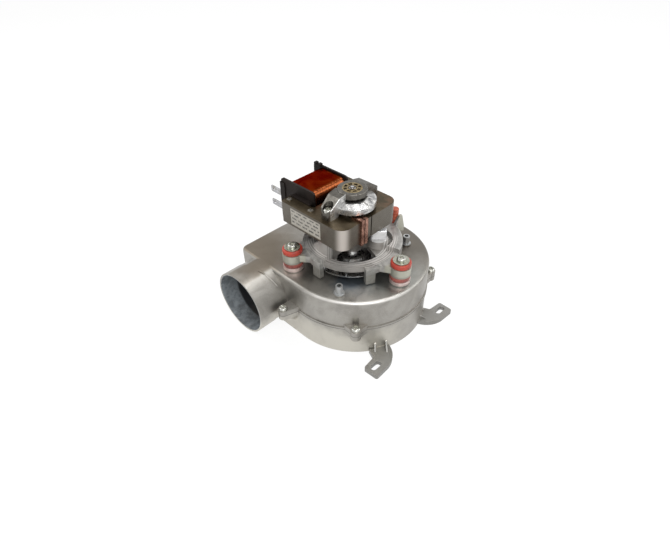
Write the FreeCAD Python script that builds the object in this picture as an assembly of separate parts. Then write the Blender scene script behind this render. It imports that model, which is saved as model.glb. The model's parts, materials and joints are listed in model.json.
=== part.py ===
import FreeCAD, Part
import math
import os

# Flue exhaust fan: a die-cast scroll casing with a round outlet, and a shaded-pole motor
# on a rubber-mounted bracket above it. Millimetres, +Z up. The rotor turns about Z through
# the origin, and z = 0 is the underside of the casing.

Vec = FreeCAD.Vector
X_AXIS = Vec(1, 0, 0)
Z_AXIS = Vec(0, 0, 1)

# Outlet spigot, pointing along -X
spigot_radius = 30.0
spigot_wall = 1.8
spigot_length = 30.2
spigot_far_margin = 4.6
spigot_ground_clearance = 0.2
spigot_rise = 1.2
spigot_seat_clearance = 0.15
neck_length = 12.0
neck_side_length = 2.5
neck_near_width = 50.0
neck_corner_radius = 20.0
neck_sink = 0.6
spigot_relief = 0.4
neck_flat_angle = 15.0
neck_lip_radius = 0.9
neck_lip_sink = 0.3
neck_lip_start_angle = 103.0
neck_lip_end_angle = 142.0

# Scroll casing
casing_wall = 2.5
scroll_radius = 67.5
scroll_centre_x = 4.5
scroll_centre_y = -0.8
scroll_growth = 17.6
casing_corner_radius = 7.0
casing_top_edge_radius = 3.0
casing_bottom_edge_radius = 1.2
split_drop = 1.0
gasket_thickness = 0.6
rim_width = 0.9
rim_depth = 1.6

# Inlet in the casing floor
inlet_radius = 31.0
inlet_lip_height = 3.0
inlet_lip_width = 2.2

# Lugs that hold the casing halves together
lug_reach = 5.2
lug_radius = 4.6
lug_wing = 12.0
lug_thickness = 4.5
lug_beak_depth = 13.0
lug_beak_radius = 1.2
lug_beak_stand_out = 0.6
front_lug_angles = (-42.0, 223.0)
scroll_lug_angle = 42.0
far_lug_distance = 33.0
neck_lug_reach = 11.0
neck_lug_wing = 6.5
neck_lug_spacing = 37.2
driver_groove_depth = 0.7
driver_groove_height = 9.0

# Screws
m4_radius = 2.0
m4_hole_clearance = 0.25
m4_thread_clearance = 0.02
m4_head_radius = 3.9
m4_head_height = 2.6
screw_tip_gap = 1.0

# Feet
foot_thickness = 4.2
foot_mirror_x = 0.8
foot_slot_half_spacing = 47.0
foot_slot_y = -72.0
foot_slot_width = 5.4
foot_slot_length = 11.0
foot_corner_radius = 2.0
foot_rib_thickness = 1.4
foot_outer_rib_height = 9.5
foot_inner_rib_height = 6.0
foot_outline = ((-26.5, 8.0), (-9.5, 16.0), (-5.6, 7.5), (8.6, 6.0), (8.2, -8.4), (-7.8, -7.7))
foot_bend = (-17.0, -4.4)
foot_rounded_start = -7.0
foot_outer_rib = ((-17.2, 16.0), (-11.0, 10.4))
foot_inner_rib = ((-24.5, 9.6), (-18.3, 2.8))
rear_foot_angle = 72.0
rear_foot_reach = 13.0
rear_foot_radius = 8.0
rear_foot_hole_radius = 2.8

# Posts on the casing top, three of them carrying the motor
post_inset = 13.4
mount_angles = (152.0, 272.0, 32.0)
spare_post_angles = (212.0, 332.0, 92.0)
post_radius = 3.1
mount_post_height = 21.2
mount_base_radius = 9.1
mount_base_height = 4.6
spare_post_height = 9.5
spare_base_radius = 4.6
spare_base_height = 2.0
spare_hole_radius = 1.8
post_thread_depth = 11.0
spare_thread_depth = 8.0

# Rubber mounts
grommet_radius = 8.8
grommet_waist_radius = 5.6
grommet_flange_height = 4.4
grommet_edge_radius = 1.2
eye_height = 8.3
eye_radius = 9.1
washer_radius = 7.0
washer_thickness = 1.0

# Motor bracket
ring_inset = 14.5
ring_width = 8.6
ring_step = 4.0
ring_step_depth = 1.2
ring_groove_inset = 1.2
ring_groove_width = 1.5
ring_groove_depth = 0.8
ring_height = 5.2
stub_half_spread = 27.5
stub_reach = 4.2
stub_width = 8.6
stub_clearance = 0.8
fan_side_gap = 0.8
arm_width = 12.0
arm_thickness = 6.5
arm_root_angle = 24.0
web_thickness = 4.0
web_start_angle = 263.6
web_end_angle = 318.0
web_corner_gap = 2.8
web_corner_angle = 290.5
hub_radius = 11.0
spoke_width = 7.0
rear_spoke_angle = 92.0
pillar_rise = 14.7
pillar_half_width = 4.6
pillar_corner_radius = 1.6
shoulder_inner_margin = 3.5
shoulder_stand_out = 1.9
shoulder_rise = 3.4
shoulder_end_reach = 22.0
shoulder_bend_reach = 15.0
shoulder_top_reach = 2.5
shoulder_front_reach = 6.7
front_pillar_inset_x = 14.5
front_pillar_inset_y = 8.5
front_pillar_radius = 5.6

# Square boss in front of the front pillar, turned to face forwards and left
boss_block_inset = 7.4
boss_block_angle = 308.3
boss_block_turn = 44.2
boss_block_width = 13.7
boss_block_depth = 7.0
boss_block_bottom = 5.3
boss_block_height = 8.6
boss_block_radius = 1.5
boss_base_margin = 0.7
boss_base_flare = 2.6

# Wall, rubber cap and fin on the right of the bracket
cap_radius = 3.6
cap_height = 17.6
cap_wall = 1.6
cap_pin_gap = 0.1
cap_angle = 345.5
cap_reach = 7.1
cap_seat_radius = 6.0
cap_clearance = 0.4
wall_reach = 5.6
wall_rise = 3.8
wall_edge_radius = 2.0
wall_start_angle = 288.0
well_inset = 10.0
well_gap = 4.5
fin_thickness = 2.6
fin_height = 12.5
fin_length = 9.5
fin_top_length = 3.0
fin_gap = 0.6

# Stator
stack_height = 20.0
stack_half_width = 35.5
yoke_half_depth = 22.0
leg_width = 11.5
leg_overhang = 1.0
stack_corner_radius = 10.0
stack_back_corner_radius = 2.0
bore_radius = 16.3
air_gap = 0.4
pole_slit_width = 1.2
pole_slit_depth = 3.2
core_depth = 15.0
stator_screw_inset = 9.0
stator_screw_y = 2.0
rivet_radius = 1.6
rivet_head_radius = 2.4
rivet_head_height = 0.7
rivet_inset = 6.5
rivet_front_gap = 1.5
rivet_back_gap = 4.0
shading_width = 3.4
shading_thickness = 2.0
shading_places = (-8.2, -12.5)
shading_fit = 0.05

# Coil
bobbin_wall = 1.2
winding_front_gap = 3.4
winding_depth = 8.4
winding_corner_radius = 6.0
end_plate_thickness = 1.9
end_plate_side_gap = 3.0
end_plate_front_margin = 1.0
end_plate_back_margin = 6.8
end_plate_rise = 1.6
end_plate_corner_radius = 3.0
lip_thickness = 1.4
lip_overlap = 1.0
lip_end_gap = 1.5
hook_length = 8.0
hook_height = 1.6
hook_back_gap = 2.0
hook_notch = 2.0
terminal_width = 6.3
terminal_thickness = 0.8
terminal_length = 15.5
terminal_seat_depth = 4.0
terminal_corner_radius = 1.4
terminal_hole_radius = 0.9
terminal_hole_distance = 4.0
terminal_spacing = 14.0
terminal_drop = 2.8
terminal_inset = 1.2
terminal_block_depth = 6.0
terminal_block_width = 4.0
label_length = 36.0
label_height = 15.6
label_thickness = 0.2
label_start_y = 2.6

# Bearing bridge over the rotor
bridge_height = 18.0
bridge_ring_radius = 20.5
bridge_ring_wall = 3.4
bridge_ring_gap = 3.6
bridge_ring_height = 4.6
boss_radius = 12.8
boss_height = 5.0
boss_edge_radius = 0.8
bearing_seat_wall = 2.2
skirt_thickness = 2.0
skirt_drop = 6.2
skirt_bend_gap = 1.2
skirt_bend_drop = 7.6
skirt_pad_width = 12.0
skirt_pad_rise = 0.5
skirt_pad_angle = 226.0
bridge_rib_width = 1.8
bridge_rib_rise = 1.0
bridge_rib_angles = (62.0, 90.0, 118.0, 270.0, 298.0)
bridge_arm_width = 11.0
bridge_arm_root_width = 15.5
bridge_arm_radius = 3.5
bridge_shoulder_reach = 5.7
bridge_shoulder_drop = 1.6
bridge_foot_height = 9.0
bridge_foot_reach = 4.2
bridge_foot_back = 5.0
bridge_foot_batter = 1.6
bridge_screw_seat = 6.2
head_pocket_gap = 0.5

# Bearings
bearing_radius = 6.5
bearing_length = 8.0
bearing_edge_radius = 0.8
running_clearance = 0.04
bearing_seat_floor = 1.2
retainer_thickness = 0.8
retainer_radius = 8.6
retainer_gap = 0.5
retainer_notch_depth = 1.6
retainer_notch_width = 1.8
retainer_notch_count = 3
lower_felt_thickness = 1.8
upper_felt_thickness = 0.6
felt_gap = 0.3

# Rotor
shaft_radius = 3.0
shaft_stand_out = 1.0
shaft_nut_overhang = 2.0
shaft_chamfer = 0.5
end_ring_height = 3.4
end_ring_inset = 0.6
end_ring_bore = 8.0
cage_bar_radius = 1.1
cage_bar_inset = 2.0
cage_bar_count = 16
vane_count = 8
vane_height = 2.6
vane_width = 2.0
vane_length = 4.4
thrust_washer_radius = 4.6
thrust_washer_thickness = 0.5
thrust_play = 0.3
spacer_radius = 4.6
spacer_gap = 0.6

# Cooling fan between casing and bracket
fan_gap = 2.6
fan_inset = 1.2
fan_thickness = 1.0
fan_hub_radius = 8.0
fan_hub_height = 5.0
fan_hub_drop = 1.0
fan_dish_radius = 16.8
fan_dish_height = 1.4
fan_blade_count = 10
fan_blade_height = 3.4
fan_blade_thickness = 1.0
fan_blade_length = 18.0

# Shaft seal in the casing top
seal_boss_radius = 12.0
seal_boss_height = 2.2
seal_radius = 8.0
seal_ledge = 3.0
seal_thickness = 3.0
seal_bore_clearance = 0.35
seal_plate_thickness = 0.8
seal_plate_clearance = 1.5

# Impeller
impeller_side_gap = 6.9
impeller_top_gap = 4.1
impeller_plate_thickness = 1.2
blade_thickness = 1.0
blade_count = 12
blade_inset = 1.0
blade_sweep = 24.0
blade_bow = 0.36
shroud_gap = 6.3
shroud_overlap = 3.0
shroud_thickness = 1.0
shroud_lip_height = 2.4
shroud_lip_thickness = 1.2
impeller_hub_radius = 9.0
impeller_hub_height = 14.0
impeller_flange_radius = 14.0
impeller_flange_thickness = 2.0
impeller_washer_radius = 6.5
impeller_washer_thickness = 1.0
nut_across_flats = 8.0
nut_height = 4.0
hub_rivet_count = 4
hub_rivet_radius = 1.4
hub_rivet_head_overlap = 0.9
hub_rivet_head_height = 0.8

# Length by which cutting solids run past the faces they cut
cut_margin = 1.0

# Heights and places that follow from the sizes above
spigot_centre_z = spigot_radius + spigot_ground_clearance
spigot_bore_radius = spigot_radius - spigot_wall
casing_height = spigot_centre_z + spigot_radius - spigot_rise
scroll_left_x = scroll_centre_x - scroll_radius
scroll_wide_radius = scroll_radius + scroll_growth
scroll_far_y = scroll_centre_y + scroll_wide_radius
scroll_back_x = scroll_centre_x - scroll_growth
scroll_offset = math.hypot(scroll_centre_x, scroll_centre_y)
spigot_centre_y = scroll_far_y - spigot_far_margin - spigot_radius
spigot_end_x = scroll_left_x - spigot_length
split_height = spigot_centre_z - split_drop
upper_split = split_height + gasket_thickness
lug_seat = upper_split + lug_thickness
lug_screw_tip = split_height - lug_thickness - screw_tip_gap
neck_start_x = scroll_left_x + casing_wall
neck_end_x = scroll_left_x - neck_length
neck_sunk_radius = spigot_radius - neck_sink
neck_near_y = spigot_centre_y - neck_near_width

post_circle_radius = scroll_radius - post_inset
mount_post_top = casing_height + mount_post_height
spare_post_top = casing_height + spare_post_height
grommet_bottom = casing_height + mount_base_height
eye_bottom = grommet_bottom + grommet_flange_height
eye_top = eye_bottom + eye_height
grommet_top = eye_top + grommet_flange_height
washer_top = grommet_top + washer_thickness

ring_outer_radius = post_circle_radius - ring_inset
ring_inner_radius = ring_outer_radius - ring_width
ring_step_radius = ring_outer_radius - ring_step
ring_groove_radius = ring_outer_radius - ring_groove_inset
ring_top = eye_top
ring_bottom = ring_top - ring_height
web_top = ring_bottom + web_thickness
stub_outer_radius = ring_outer_radius + stub_reach
arm_bottom = eye_top - arm_thickness
cap_circle_radius = ring_outer_radius + cap_reach
wall_outer_radius = ring_outer_radius + wall_reach
wall_top = ring_top + wall_rise
shoulder_top = ring_top + shoulder_rise
shoulder_outer_radius = ring_outer_radius + shoulder_stand_out
web_corner_radius = hub_radius + web_corner_gap
boss_block_distance = ring_inner_radius - boss_block_inset
boss_base_top_radius = math.hypot(boss_block_width, boss_block_depth) / 2 + boss_base_margin
boss_base_radius = boss_base_top_radius + boss_base_flare
well_distance = ring_inner_radius - well_inset
well_radius = boss_base_radius + well_gap

stack_bottom = ring_top + pillar_rise
stack_top = stack_bottom + stack_height
stack_middle = stack_bottom + stack_height / 2
leg_inner_x = stack_half_width - leg_width
core_front_y = yoke_half_depth + winding_front_gap + winding_depth + bobbin_wall
core_back_y = core_front_y + core_depth
leg_end_y = core_back_y + leg_overhang
stator_screw_x = stack_half_width - stator_screw_inset
rivet_x = stack_half_width - rivet_inset
leg_rivet_front_y = yoke_half_depth - rivet_front_gap
leg_rivet_back_y = leg_end_y - rivet_back_gap
front_pillar_x = stack_half_width - front_pillar_inset_x
front_pillar_y = front_pillar_inset_y - yoke_half_depth
rotor_radius = bore_radius - air_gap
shoulder_inner_x = stator_screw_x - shoulder_inner_margin

winding_front_y = core_front_y - bobbin_wall - winding_depth
winding_back_y = core_back_y + bobbin_wall + winding_depth
end_plate_x = leg_inner_x - end_plate_side_gap
end_plate_front_y = winding_front_y - end_plate_front_margin
end_plate_back_y = winding_back_y + end_plate_back_margin
end_plate_half_height = stack_height / 2 + bobbin_wall + winding_depth + end_plate_rise
end_plate_bottom = stack_middle - end_plate_half_height
end_plate_top = stack_middle + end_plate_half_height
terminal_root_y = end_plate_back_y + 1.0
terminal_tip_y = terminal_root_y + terminal_length
terminal_x = terminal_inset - end_plate_x

boss_top = stack_top + bridge_height
bridge_ring_bottom = stack_top + bridge_ring_gap
bridge_ring_top = bridge_ring_bottom + bridge_ring_height
bridge_screw_height = stack_top + bridge_screw_seat
bridge_seat_radius = bearing_radius + bearing_seat_wall
skirt_bend_radius = boss_radius + skirt_bend_gap
skirt_root_top = boss_top - skirt_drop
skirt_bend_top = boss_top - skirt_bend_drop
upper_bearing_top = boss_top - retainer_thickness - upper_felt_thickness
upper_bearing_bottom = upper_bearing_top - bearing_length
upper_seat_bottom = upper_bearing_bottom - bearing_seat_floor
lower_bearing_bottom = ring_bottom + bearing_seat_floor
lower_bearing_top = lower_bearing_bottom + bearing_length
hub_top = lower_bearing_top + lower_felt_thickness + retainer_thickness
upper_washer_bottom = upper_bearing_bottom - thrust_play - thrust_washer_thickness
lower_washer_bottom = lower_bearing_top + thrust_play

seal_top = casing_height + seal_boss_height
seal_bottom = seal_top - seal_thickness
fan_bottom = seal_top + seal_plate_thickness + fan_gap
fan_top = fan_bottom + fan_thickness
fan_radius = ring_outer_radius - fan_inset
stub_inner_radius = fan_radius + fan_side_gap

impeller_radius = scroll_radius - casing_wall - scroll_offset - impeller_side_gap
impeller_top = casing_height - casing_wall - impeller_top_gap
impeller_plate_bottom = impeller_top - impeller_plate_thickness
shroud_inner_radius = inlet_radius + shroud_overlap
shroud_bottom = casing_wall + inlet_lip_height + shroud_gap
blade_bottom = shroud_bottom + shroud_lip_height + shroud_thickness
impeller_hub_bottom = impeller_plate_bottom - impeller_hub_height
nut_bottom = impeller_hub_bottom - impeller_washer_thickness - nut_height
hub_rivet_circle = (impeller_hub_radius + impeller_flange_radius) / 2
shaft_bottom = nut_bottom - shaft_nut_overhang
shaft_top = boss_top + shaft_stand_out


def cylinder(radius, bottom, top, x=0.0, y=0.0):
    return Part.makeCylinder(radius, top - bottom, Vec(x, y, bottom))


def tube(outer, inner, bottom, top, x=0.0, y=0.0):
    return cylinder(outer, bottom, top, x, y).cut(cylinder(inner, bottom, top, x, y))


def block(x0, x1, y0, y1, z0, z1):
    return Part.makeBox(x1 - x0, y1 - y0, z1 - z0, Vec(x0, y0, z0))


def face_of(corners):
    return Part.Face(Part.makePolygon(corners + [corners[0]]))


def prism(points, bottom, top):
    corners = [Vec(x, y, bottom) for x, y in points]
    return face_of(corners).extrude(Vec(0, 0, top - bottom))


def side_profile(points, start_y, width):
    """A solid from (x, z) points seen from the front, running along Y from start_y."""
    corners = [Vec(x, start_y, z) for x, z in points]
    return face_of(corners).extrude(Vec(0, width, 0))


def end_profile(points, start_x, length):
    """A solid from (y, z) points seen from the side, running along X from start_x."""
    corners = [Vec(start_x, y, z) for y, z in points]
    return face_of(corners).extrude(Vec(length, 0, 0))


def revolved(points):
    """A ring from (radius, z) points, turned about Z."""
    corners = [Vec(radius, 0, z) for radius, z in points]
    return face_of(corners).revolve(Vec(0, 0, 0), Z_AXIS, 360)


def polar(radius, degrees, centre=(0.0, 0.0)):
    angle = math.radians(degrees)
    return centre[0] + radius * math.cos(angle), centre[1] + radius * math.sin(angle)


def turned(shape, degrees):
    copy = shape.copy()
    copy.rotate(Vec(0, 0, 0), Z_AXIS, degrees)
    return copy


def mirrored(shape):
    return shape.mirror(Vec(0, 0, 0), X_AXIS)


def fused(shapes):
    return shapes[0].multiFuse(shapes[1:]).removeSplitter()


def group(shapes):
    return Part.makeCompound(shapes)


def largest(shape):
    return max(shape.Solids, key=lambda solid: solid.Volume)


def drilled(shape, radius, bottom, top, places):
    for x, y in places:
        shape = shape.cut(cylinder(radius, bottom, top, x, y))
    return shape


def round_edges(shape, radius, wanted):
    edges = [edge for edge in shape.Edges if wanted(edge)]
    return shape.makeFillet(radius, edges)


def is_upright(edge):
    return edge.BoundBox.ZLength > edge.Length * 0.9


def is_round_rim(edge):
    return edge.Closed and edge.BoundBox.ZLength < edge.Length * 0.01


def rounded_block(x0, x1, y0, y1, z0, z1, radius):
    return round_edges(block(x0, x1, y0, y1, z0, z1), radius, is_upright)


def arc_between(centre, radius, start, end, z):
    """An arc in the plane at z, from the start angle to the end angle in degrees."""
    angles = (start, (start + end) / 2, end)
    places = [Vec(*polar(radius, angle, centre), z) for angle in angles]
    return Part.Arc(*places).toShape()


def line_between(start, end, z):
    return Part.LineSegment(Vec(start[0], start[1], z), Vec(end[0], end[1], z)).toShape()


def sector(inner, outer, start, end, bottom, top):
    """A ring segment between two angles."""
    edges = [arc_between((0, 0), outer, start, end, bottom)]
    edges.append(line_between(polar(outer, end), polar(inner, end), bottom))
    edges.append(arc_between((0, 0), inner, end, start, bottom))
    edges.append(line_between(polar(inner, start), polar(outer, start), bottom))
    return Part.Face(Part.Wire(edges)).extrude(Vec(0, 0, top - bottom))


def slot(centre_x, centre_y, length, width, bottom, top):
    """A slot along X with round ends, as a cutting solid."""
    reach = (length - width) / 2
    half = width / 2
    middle = block(centre_x - reach, centre_x + reach, centre_y - half, centre_y + half, bottom, top)
    ends = [cylinder(half, bottom, top, centre_x + side * reach, centre_y) for side in (-1, 1)]
    return fused([middle] + ends)


def screw_recess(x, y, radius, bottom, top):
    """The cross for a screwdriver, as a cutting solid."""
    arm = radius * 0.55
    half = radius * 0.22
    along = block(x - arm, x + arm, y - half, y + half, bottom, top)
    return along.fuse(block(x - half, x + half, y - arm, y + arm, bottom, top))


def pan_screw(x, y, seat, tip):
    """An M4 pan-head screw with its head standing on the seat."""
    top = seat + m4_head_height
    head = cylinder(m4_head_radius, seat, top, x, y)
    middle = seat + m4_head_height / 2
    head = round_edges(head, m4_head_height * 0.55, lambda edge: edge.BoundBox.ZMin > middle)
    shank = cylinder(m4_radius, tip, seat, x, y)
    recess = screw_recess(x, y, m4_head_radius, middle, top + cut_margin)
    return fused([head, shank]).cut(recess)


# Casing

def scroll_outline(inset, bottom, top):
    """The scroll seen from above, moved inwards by inset and raised to a solid."""
    radius = scroll_radius - inset
    wide = radius + scroll_growth
    left = scroll_centre_x - radius
    far = scroll_centre_y + wide
    corner = max(casing_corner_radius - inset, 1.0)
    centre = (scroll_centre_x, scroll_centre_y)
    edges = [arc_between((scroll_back_x, scroll_centre_y), wide, 0, 90, bottom)]
    edges.append(line_between((scroll_back_x, far), (left + corner, far), bottom))
    edges.append(arc_between((left + corner, far - corner), corner, 90, 180, bottom))
    edges.append(line_between((left, far - corner), (left, scroll_centre_y), bottom))
    edges.append(arc_between(centre, radius, 180, 360, bottom))
    return Part.Face(Part.Wire(edges)).extrude(Vec(0, 0, top - bottom))


def casing_block():
    body = scroll_outline(0, 0, casing_height)
    middle = casing_height / 2
    body = round_edges(body, casing_top_edge_radius, lambda edge: edge.BoundBox.ZMin > middle)
    return round_edges(body, casing_bottom_edge_radius, lambda edge: edge.BoundBox.ZMax < middle)


def casing_cavity():
    """The space inside, with the tongue that splits the outlet from the start of the scroll."""
    space = scroll_outline(casing_wall, casing_wall, casing_height - casing_wall)
    inner_radius = scroll_radius - casing_wall
    tongue = block(
        scroll_left_x, scroll_centre_x - inner_radius / 2,
        scroll_centre_y, spigot_centre_y - spigot_bore_radius, 0, casing_height,
    )
    scroll = cylinder(inner_radius, -cut_margin, casing_height + cut_margin, scroll_centre_x, scroll_centre_y)
    return space.cut(tongue.cut(scroll))


def spigot_cylinder(radius, start_x, end_x):
    base = Vec(start_x, spigot_centre_y, spigot_centre_z)
    return Part.makeCylinder(radius, start_x - end_x, base, -X_AXIS)


def neck_wall_section():
    """The neck's outline in the end wall: round on the far side, square on the near side."""
    near = neck_near_y
    inner = near + neck_corner_radius
    low = neck_corner_radius
    high = casing_height - neck_corner_radius
    rise = neck_corner_radius / math.sqrt(2)
    top = Vec(neck_start_x, spigot_centre_y, spigot_centre_z + neck_sunk_radius)
    bottom = Vec(neck_start_x, spigot_centre_y, spigot_centre_z - neck_sunk_radius)
    far = Vec(neck_start_x, spigot_centre_y + neck_sunk_radius, spigot_centre_z)
    upper = [Vec(neck_start_x, y, z) for y, z in
             ((inner, casing_height), (inner - rise, high + rise), (near, high))]
    lower = [Vec(neck_start_x, y, z) for y, z in ((near, low), (inner - rise, low - rise), (inner, 0))]
    return Part.Wire([
        Part.Arc(bottom, far, top).toShape(), Part.LineSegment(top, upper[0]).toShape(),
        Part.Arc(*upper).toShape(), Part.LineSegment(upper[2], lower[0]).toShape(),
        Part.Arc(*lower).toShape(), Part.LineSegment(lower[2], bottom).toShape(),
    ])


def neck_spigot_point(degrees, radius):
    """A point just under the spigot's surface; on the near side the neck grows shorter."""
    y, z = polar(radius, degrees)
    lean = (neck_length - neck_side_length) / neck_sunk_radius
    return Vec(neck_end_x - min(y, 0) * lean, spigot_centre_y + y, spigot_centre_z + z)


def neck_spigot_section():
    angles = (-90, 90, 90 + neck_flat_angle, 180 - neck_flat_angle, 180 + neck_flat_angle,
              270 - neck_flat_angle, 270)
    edges = []
    for start, end in zip(angles, angles[1:]):
        places = [neck_spigot_point(angle, neck_sunk_radius) for angle in (start, (start + end) / 2, end)]
        edges.append(Part.Arc(*places).toShape())
    return Part.Wire(edges)


def spigot_neck():
    """The casting that turns from the square end of the casing into the round spigot."""
    return Part.makeLoft([neck_wall_section(), neck_spigot_section()], True)


def neck_lip():
    """The raised lip where the spigot leaves the neck."""
    radius = spigot_radius - neck_lip_sink
    angles = (neck_lip_start_angle, neck_lip_end_angle)
    ends = [neck_spigot_point(angle, radius) for angle in angles]
    middle = neck_spigot_point(sum(angles) / 2, radius)
    path = Part.Wire([Part.Arc(ends[0], middle, ends[1]).toShape()])
    edge = path.Edges[0]
    circle = Part.Circle(ends[0], edge.tangentAt(edge.FirstParameter), neck_lip_radius)
    lip = path.makePipeShell([Part.Wire([circle.toShape()])], True, False)
    return [lip] + [Part.makeSphere(neck_lip_radius, end) for end in ends]


def lug_places():
    """Each lug as (x, y, distance from the wall, half width at the wall)."""
    centre = (scroll_centre_x, scroll_centre_y)
    places = [polar(scroll_radius + lug_reach, angle, centre) for angle in front_lug_angles]
    places.append(polar(scroll_wide_radius + lug_reach, scroll_lug_angle, (scroll_back_x, scroll_centre_y)))
    places.append((scroll_left_x + far_lug_distance, scroll_far_y + lug_reach))
    neck_x = scroll_left_x - neck_lug_reach
    neck_y = spigot_centre_y - neck_lug_spacing
    lugs = [(x, y, lug_reach, lug_wing) for x, y in places]
    return lugs + [(neck_x, neck_y, neck_lug_reach, neck_lug_wing)]


def lug_centres():
    return [(x, y) for x, y, reach, wing in lug_places()]


def lug_root(x, y, reach):
    """The point inside the wall, straight in from the lug."""
    away_x = x - scroll_centre_x
    away_y = y - scroll_centre_y
    share = (reach + casing_wall) / math.hypot(away_x, away_y)
    return x - away_x * share, y - away_y * share


def lug(x, y, reach, wing, bottom, top):
    """A round lug with a root that widens into the wall."""
    root_x, root_y = lug_root(x, y, reach)
    across = math.degrees(math.atan2(y - root_y, x - root_x)) + 90
    outer_x, outer_y = polar(lug_radius, across)
    wing_x, wing_y = polar(wing, across)
    web = prism(
        [(x + outer_x, y + outer_y), (root_x + wing_x, root_y + wing_y),
         (root_x - wing_x, root_y - wing_y), (x - outer_x, y - outer_y)],
        bottom, top,
    )
    return web.fuse(cylinder(lug_radius, bottom, top, x, y))


def circle_wire(radius, x, y, z):
    return Part.Wire([Part.Circle(Vec(x, y, z), Z_AXIS, radius).toShape()])


def lug_beak(x, y, reach, wing):
    """The taper under a lug, which runs down to a point on the wall."""
    bottom = split_height - lug_beak_depth
    root_x, root_y = lug_root(x, y, reach)
    share = (casing_wall + lug_beak_stand_out) / (reach + casing_wall)
    tip_x = root_x + (x - root_x) * share
    tip_y = root_y + (y - root_y) * share
    across = math.degrees(math.atan2(y - root_y, x - root_x)) + 90
    outer_x, outer_y = polar(lug_radius, across)
    wing_x, wing_y = polar(wing, across)
    side_x, side_y = polar(lug_beak_radius, across)
    upper = [(x + outer_x, y + outer_y), (root_x + wing_x, root_y + wing_y),
             (root_x - wing_x, root_y - wing_y), (x - outer_x, y - outer_y)]
    lower = [(tip_x + side_x, tip_y + side_y), (root_x + side_x, root_y + side_y),
             (root_x - side_x, root_y - side_y), (tip_x - side_x, tip_y - side_y)]
    wires = [
        Part.makePolygon([Vec(px, py, z) for px, py in points + points[:1]])
        for points, z in ((upper, split_height), (lower, bottom))
    ]
    web = Part.makeLoft(wires, True, True)
    ends = [circle_wire(lug_radius, x, y, split_height), circle_wire(lug_beak_radius, tip_x, tip_y, bottom)]
    return web.fuse(Part.makeLoft(ends, True, True))


def parting_rim(bottom, top):
    """The thin rim that runs round the casing where the halves meet."""
    return scroll_outline(-rim_width, bottom, top)


def from_slot(offsets):
    """Places on the right foot, given from the centre of its slot."""
    return [(foot_slot_half_spacing + x, foot_slot_y + y) for x, y in offsets]


def foot(side):
    """One boot-shaped front foot; side is -1 for left and 1 for right."""
    places = from_slot(foot_outline + (foot_bend,))
    corners = [Vec(foot_mirror_x + side * x, y, 0) for x, y in places]
    edges = [Part.LineSegment(start, end).toShape() for start, end in zip(corners, corners[1:6])]
    edges.append(Part.Arc(corners[5], corners[6], corners[0]).toShape())
    plate = Part.Face(Part.Wire(edges)).extrude(Vec(0, 0, foot_thickness))
    inner_x = foot_slot_half_spacing + foot_rounded_start
    plate = round_edges(
        plate, foot_corner_radius,
        lambda edge: is_upright(edge) and side * (edge.BoundBox.Center.x - foot_mirror_x) > inner_x,
    )
    outer_rib = foot_rib(side, *from_slot(foot_outer_rib), foot_outer_rib_height)
    inner_rib = foot_rib(side, *from_slot(foot_inner_rib), foot_inner_rib_height)
    return plate.fuse([outer_rib, inner_rib])


def foot_rib(side, root, tip, height):
    """A sloping rib from the casing wall down to the foot."""
    root_x = foot_mirror_x + side * root[0]
    tip_x = foot_mirror_x + side * tip[0]
    profile = [
        Vec(root_x, root[1], 0), Vec(tip_x, tip[1], 0), Vec(tip_x, tip[1], foot_thickness),
        Vec(root_x, root[1], foot_thickness + height),
    ]
    run = Vec(tip_x - root_x, tip[1] - root[1], 0).normalize()
    width = Vec(-run.y, run.x, 0) * foot_rib_thickness
    face = face_of(profile)
    face.translate(width * -0.5)
    return face.extrude(width)


def foot_slot(side):
    return slot(
        foot_mirror_x + side * foot_slot_half_spacing, foot_slot_y,
        foot_slot_length, foot_slot_width, -cut_margin, foot_thickness + cut_margin,
    )


def rear_foot_place(reach):
    centre = (scroll_back_x, scroll_centre_y)
    return polar(scroll_wide_radius + reach, rear_foot_angle, centre)


def rear_foot():
    x, y = rear_foot_place(rear_foot_reach)
    root_x, root_y = rear_foot_place(-casing_wall)
    side_x, side_y = polar(rear_foot_radius, rear_foot_angle + 90)
    wing_x, wing_y = polar(rear_foot_radius + casing_corner_radius, rear_foot_angle + 90)
    plate = prism(
        [(x + side_x, y + side_y), (root_x + wing_x, root_y + wing_y),
         (root_x - wing_x, root_y - wing_y), (x - side_x, y - side_y)],
        0, foot_thickness,
    )
    return plate.fuse(cylinder(rear_foot_radius, 0, foot_thickness, x, y))


def between_heights(shape, bottom, top):
    reach = scroll_wide_radius * 2
    return shape.common(block(-reach, reach, -reach, reach, bottom, top))


def casing_lower():
    shell = fused([casing_block(), parting_rim(split_height - rim_depth, split_height)])
    for x, y, reach, wing in lug_places():
        shell = shell.fuse(lug(x, y, reach, wing, split_height - lug_thickness, split_height))
        shell = shell.fuse(lug_beak(x, y, reach, wing))
    shell = shell.fuse([spigot_neck(), foot(-1), foot(1), rear_foot()])
    shell = between_heights(shell, 0, split_height)
    lip = cylinder(inlet_radius + inlet_lip_width, 0, casing_wall + inlet_lip_height)
    shell = shell.cut(casing_cavity()).fuse(lip)
    seat_radius = spigot_radius + spigot_seat_clearance
    spigot_seat = spigot_cylinder(seat_radius, neck_start_x + cut_margin, spigot_end_x)
    inlet = cylinder(inlet_radius, -cut_margin, split_height)
    for cutter in (inlet, foot_slot(-1), foot_slot(1), spigot_seat):
        shell = shell.cut(cutter)
    rear_hole = rear_foot_place(rear_foot_reach)
    shell = drilled(shell, rear_foot_hole_radius, -cut_margin, foot_thickness + cut_margin, [rear_hole])
    thread = m4_radius + m4_thread_clearance
    shell = drilled(shell, thread, lug_screw_tip - screw_tip_gap, split_height + cut_margin, lug_centres())
    return largest(shell.removeSplitter())


def posts_at(angles):
    return [polar(post_circle_radius, angle) for angle in angles]


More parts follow.
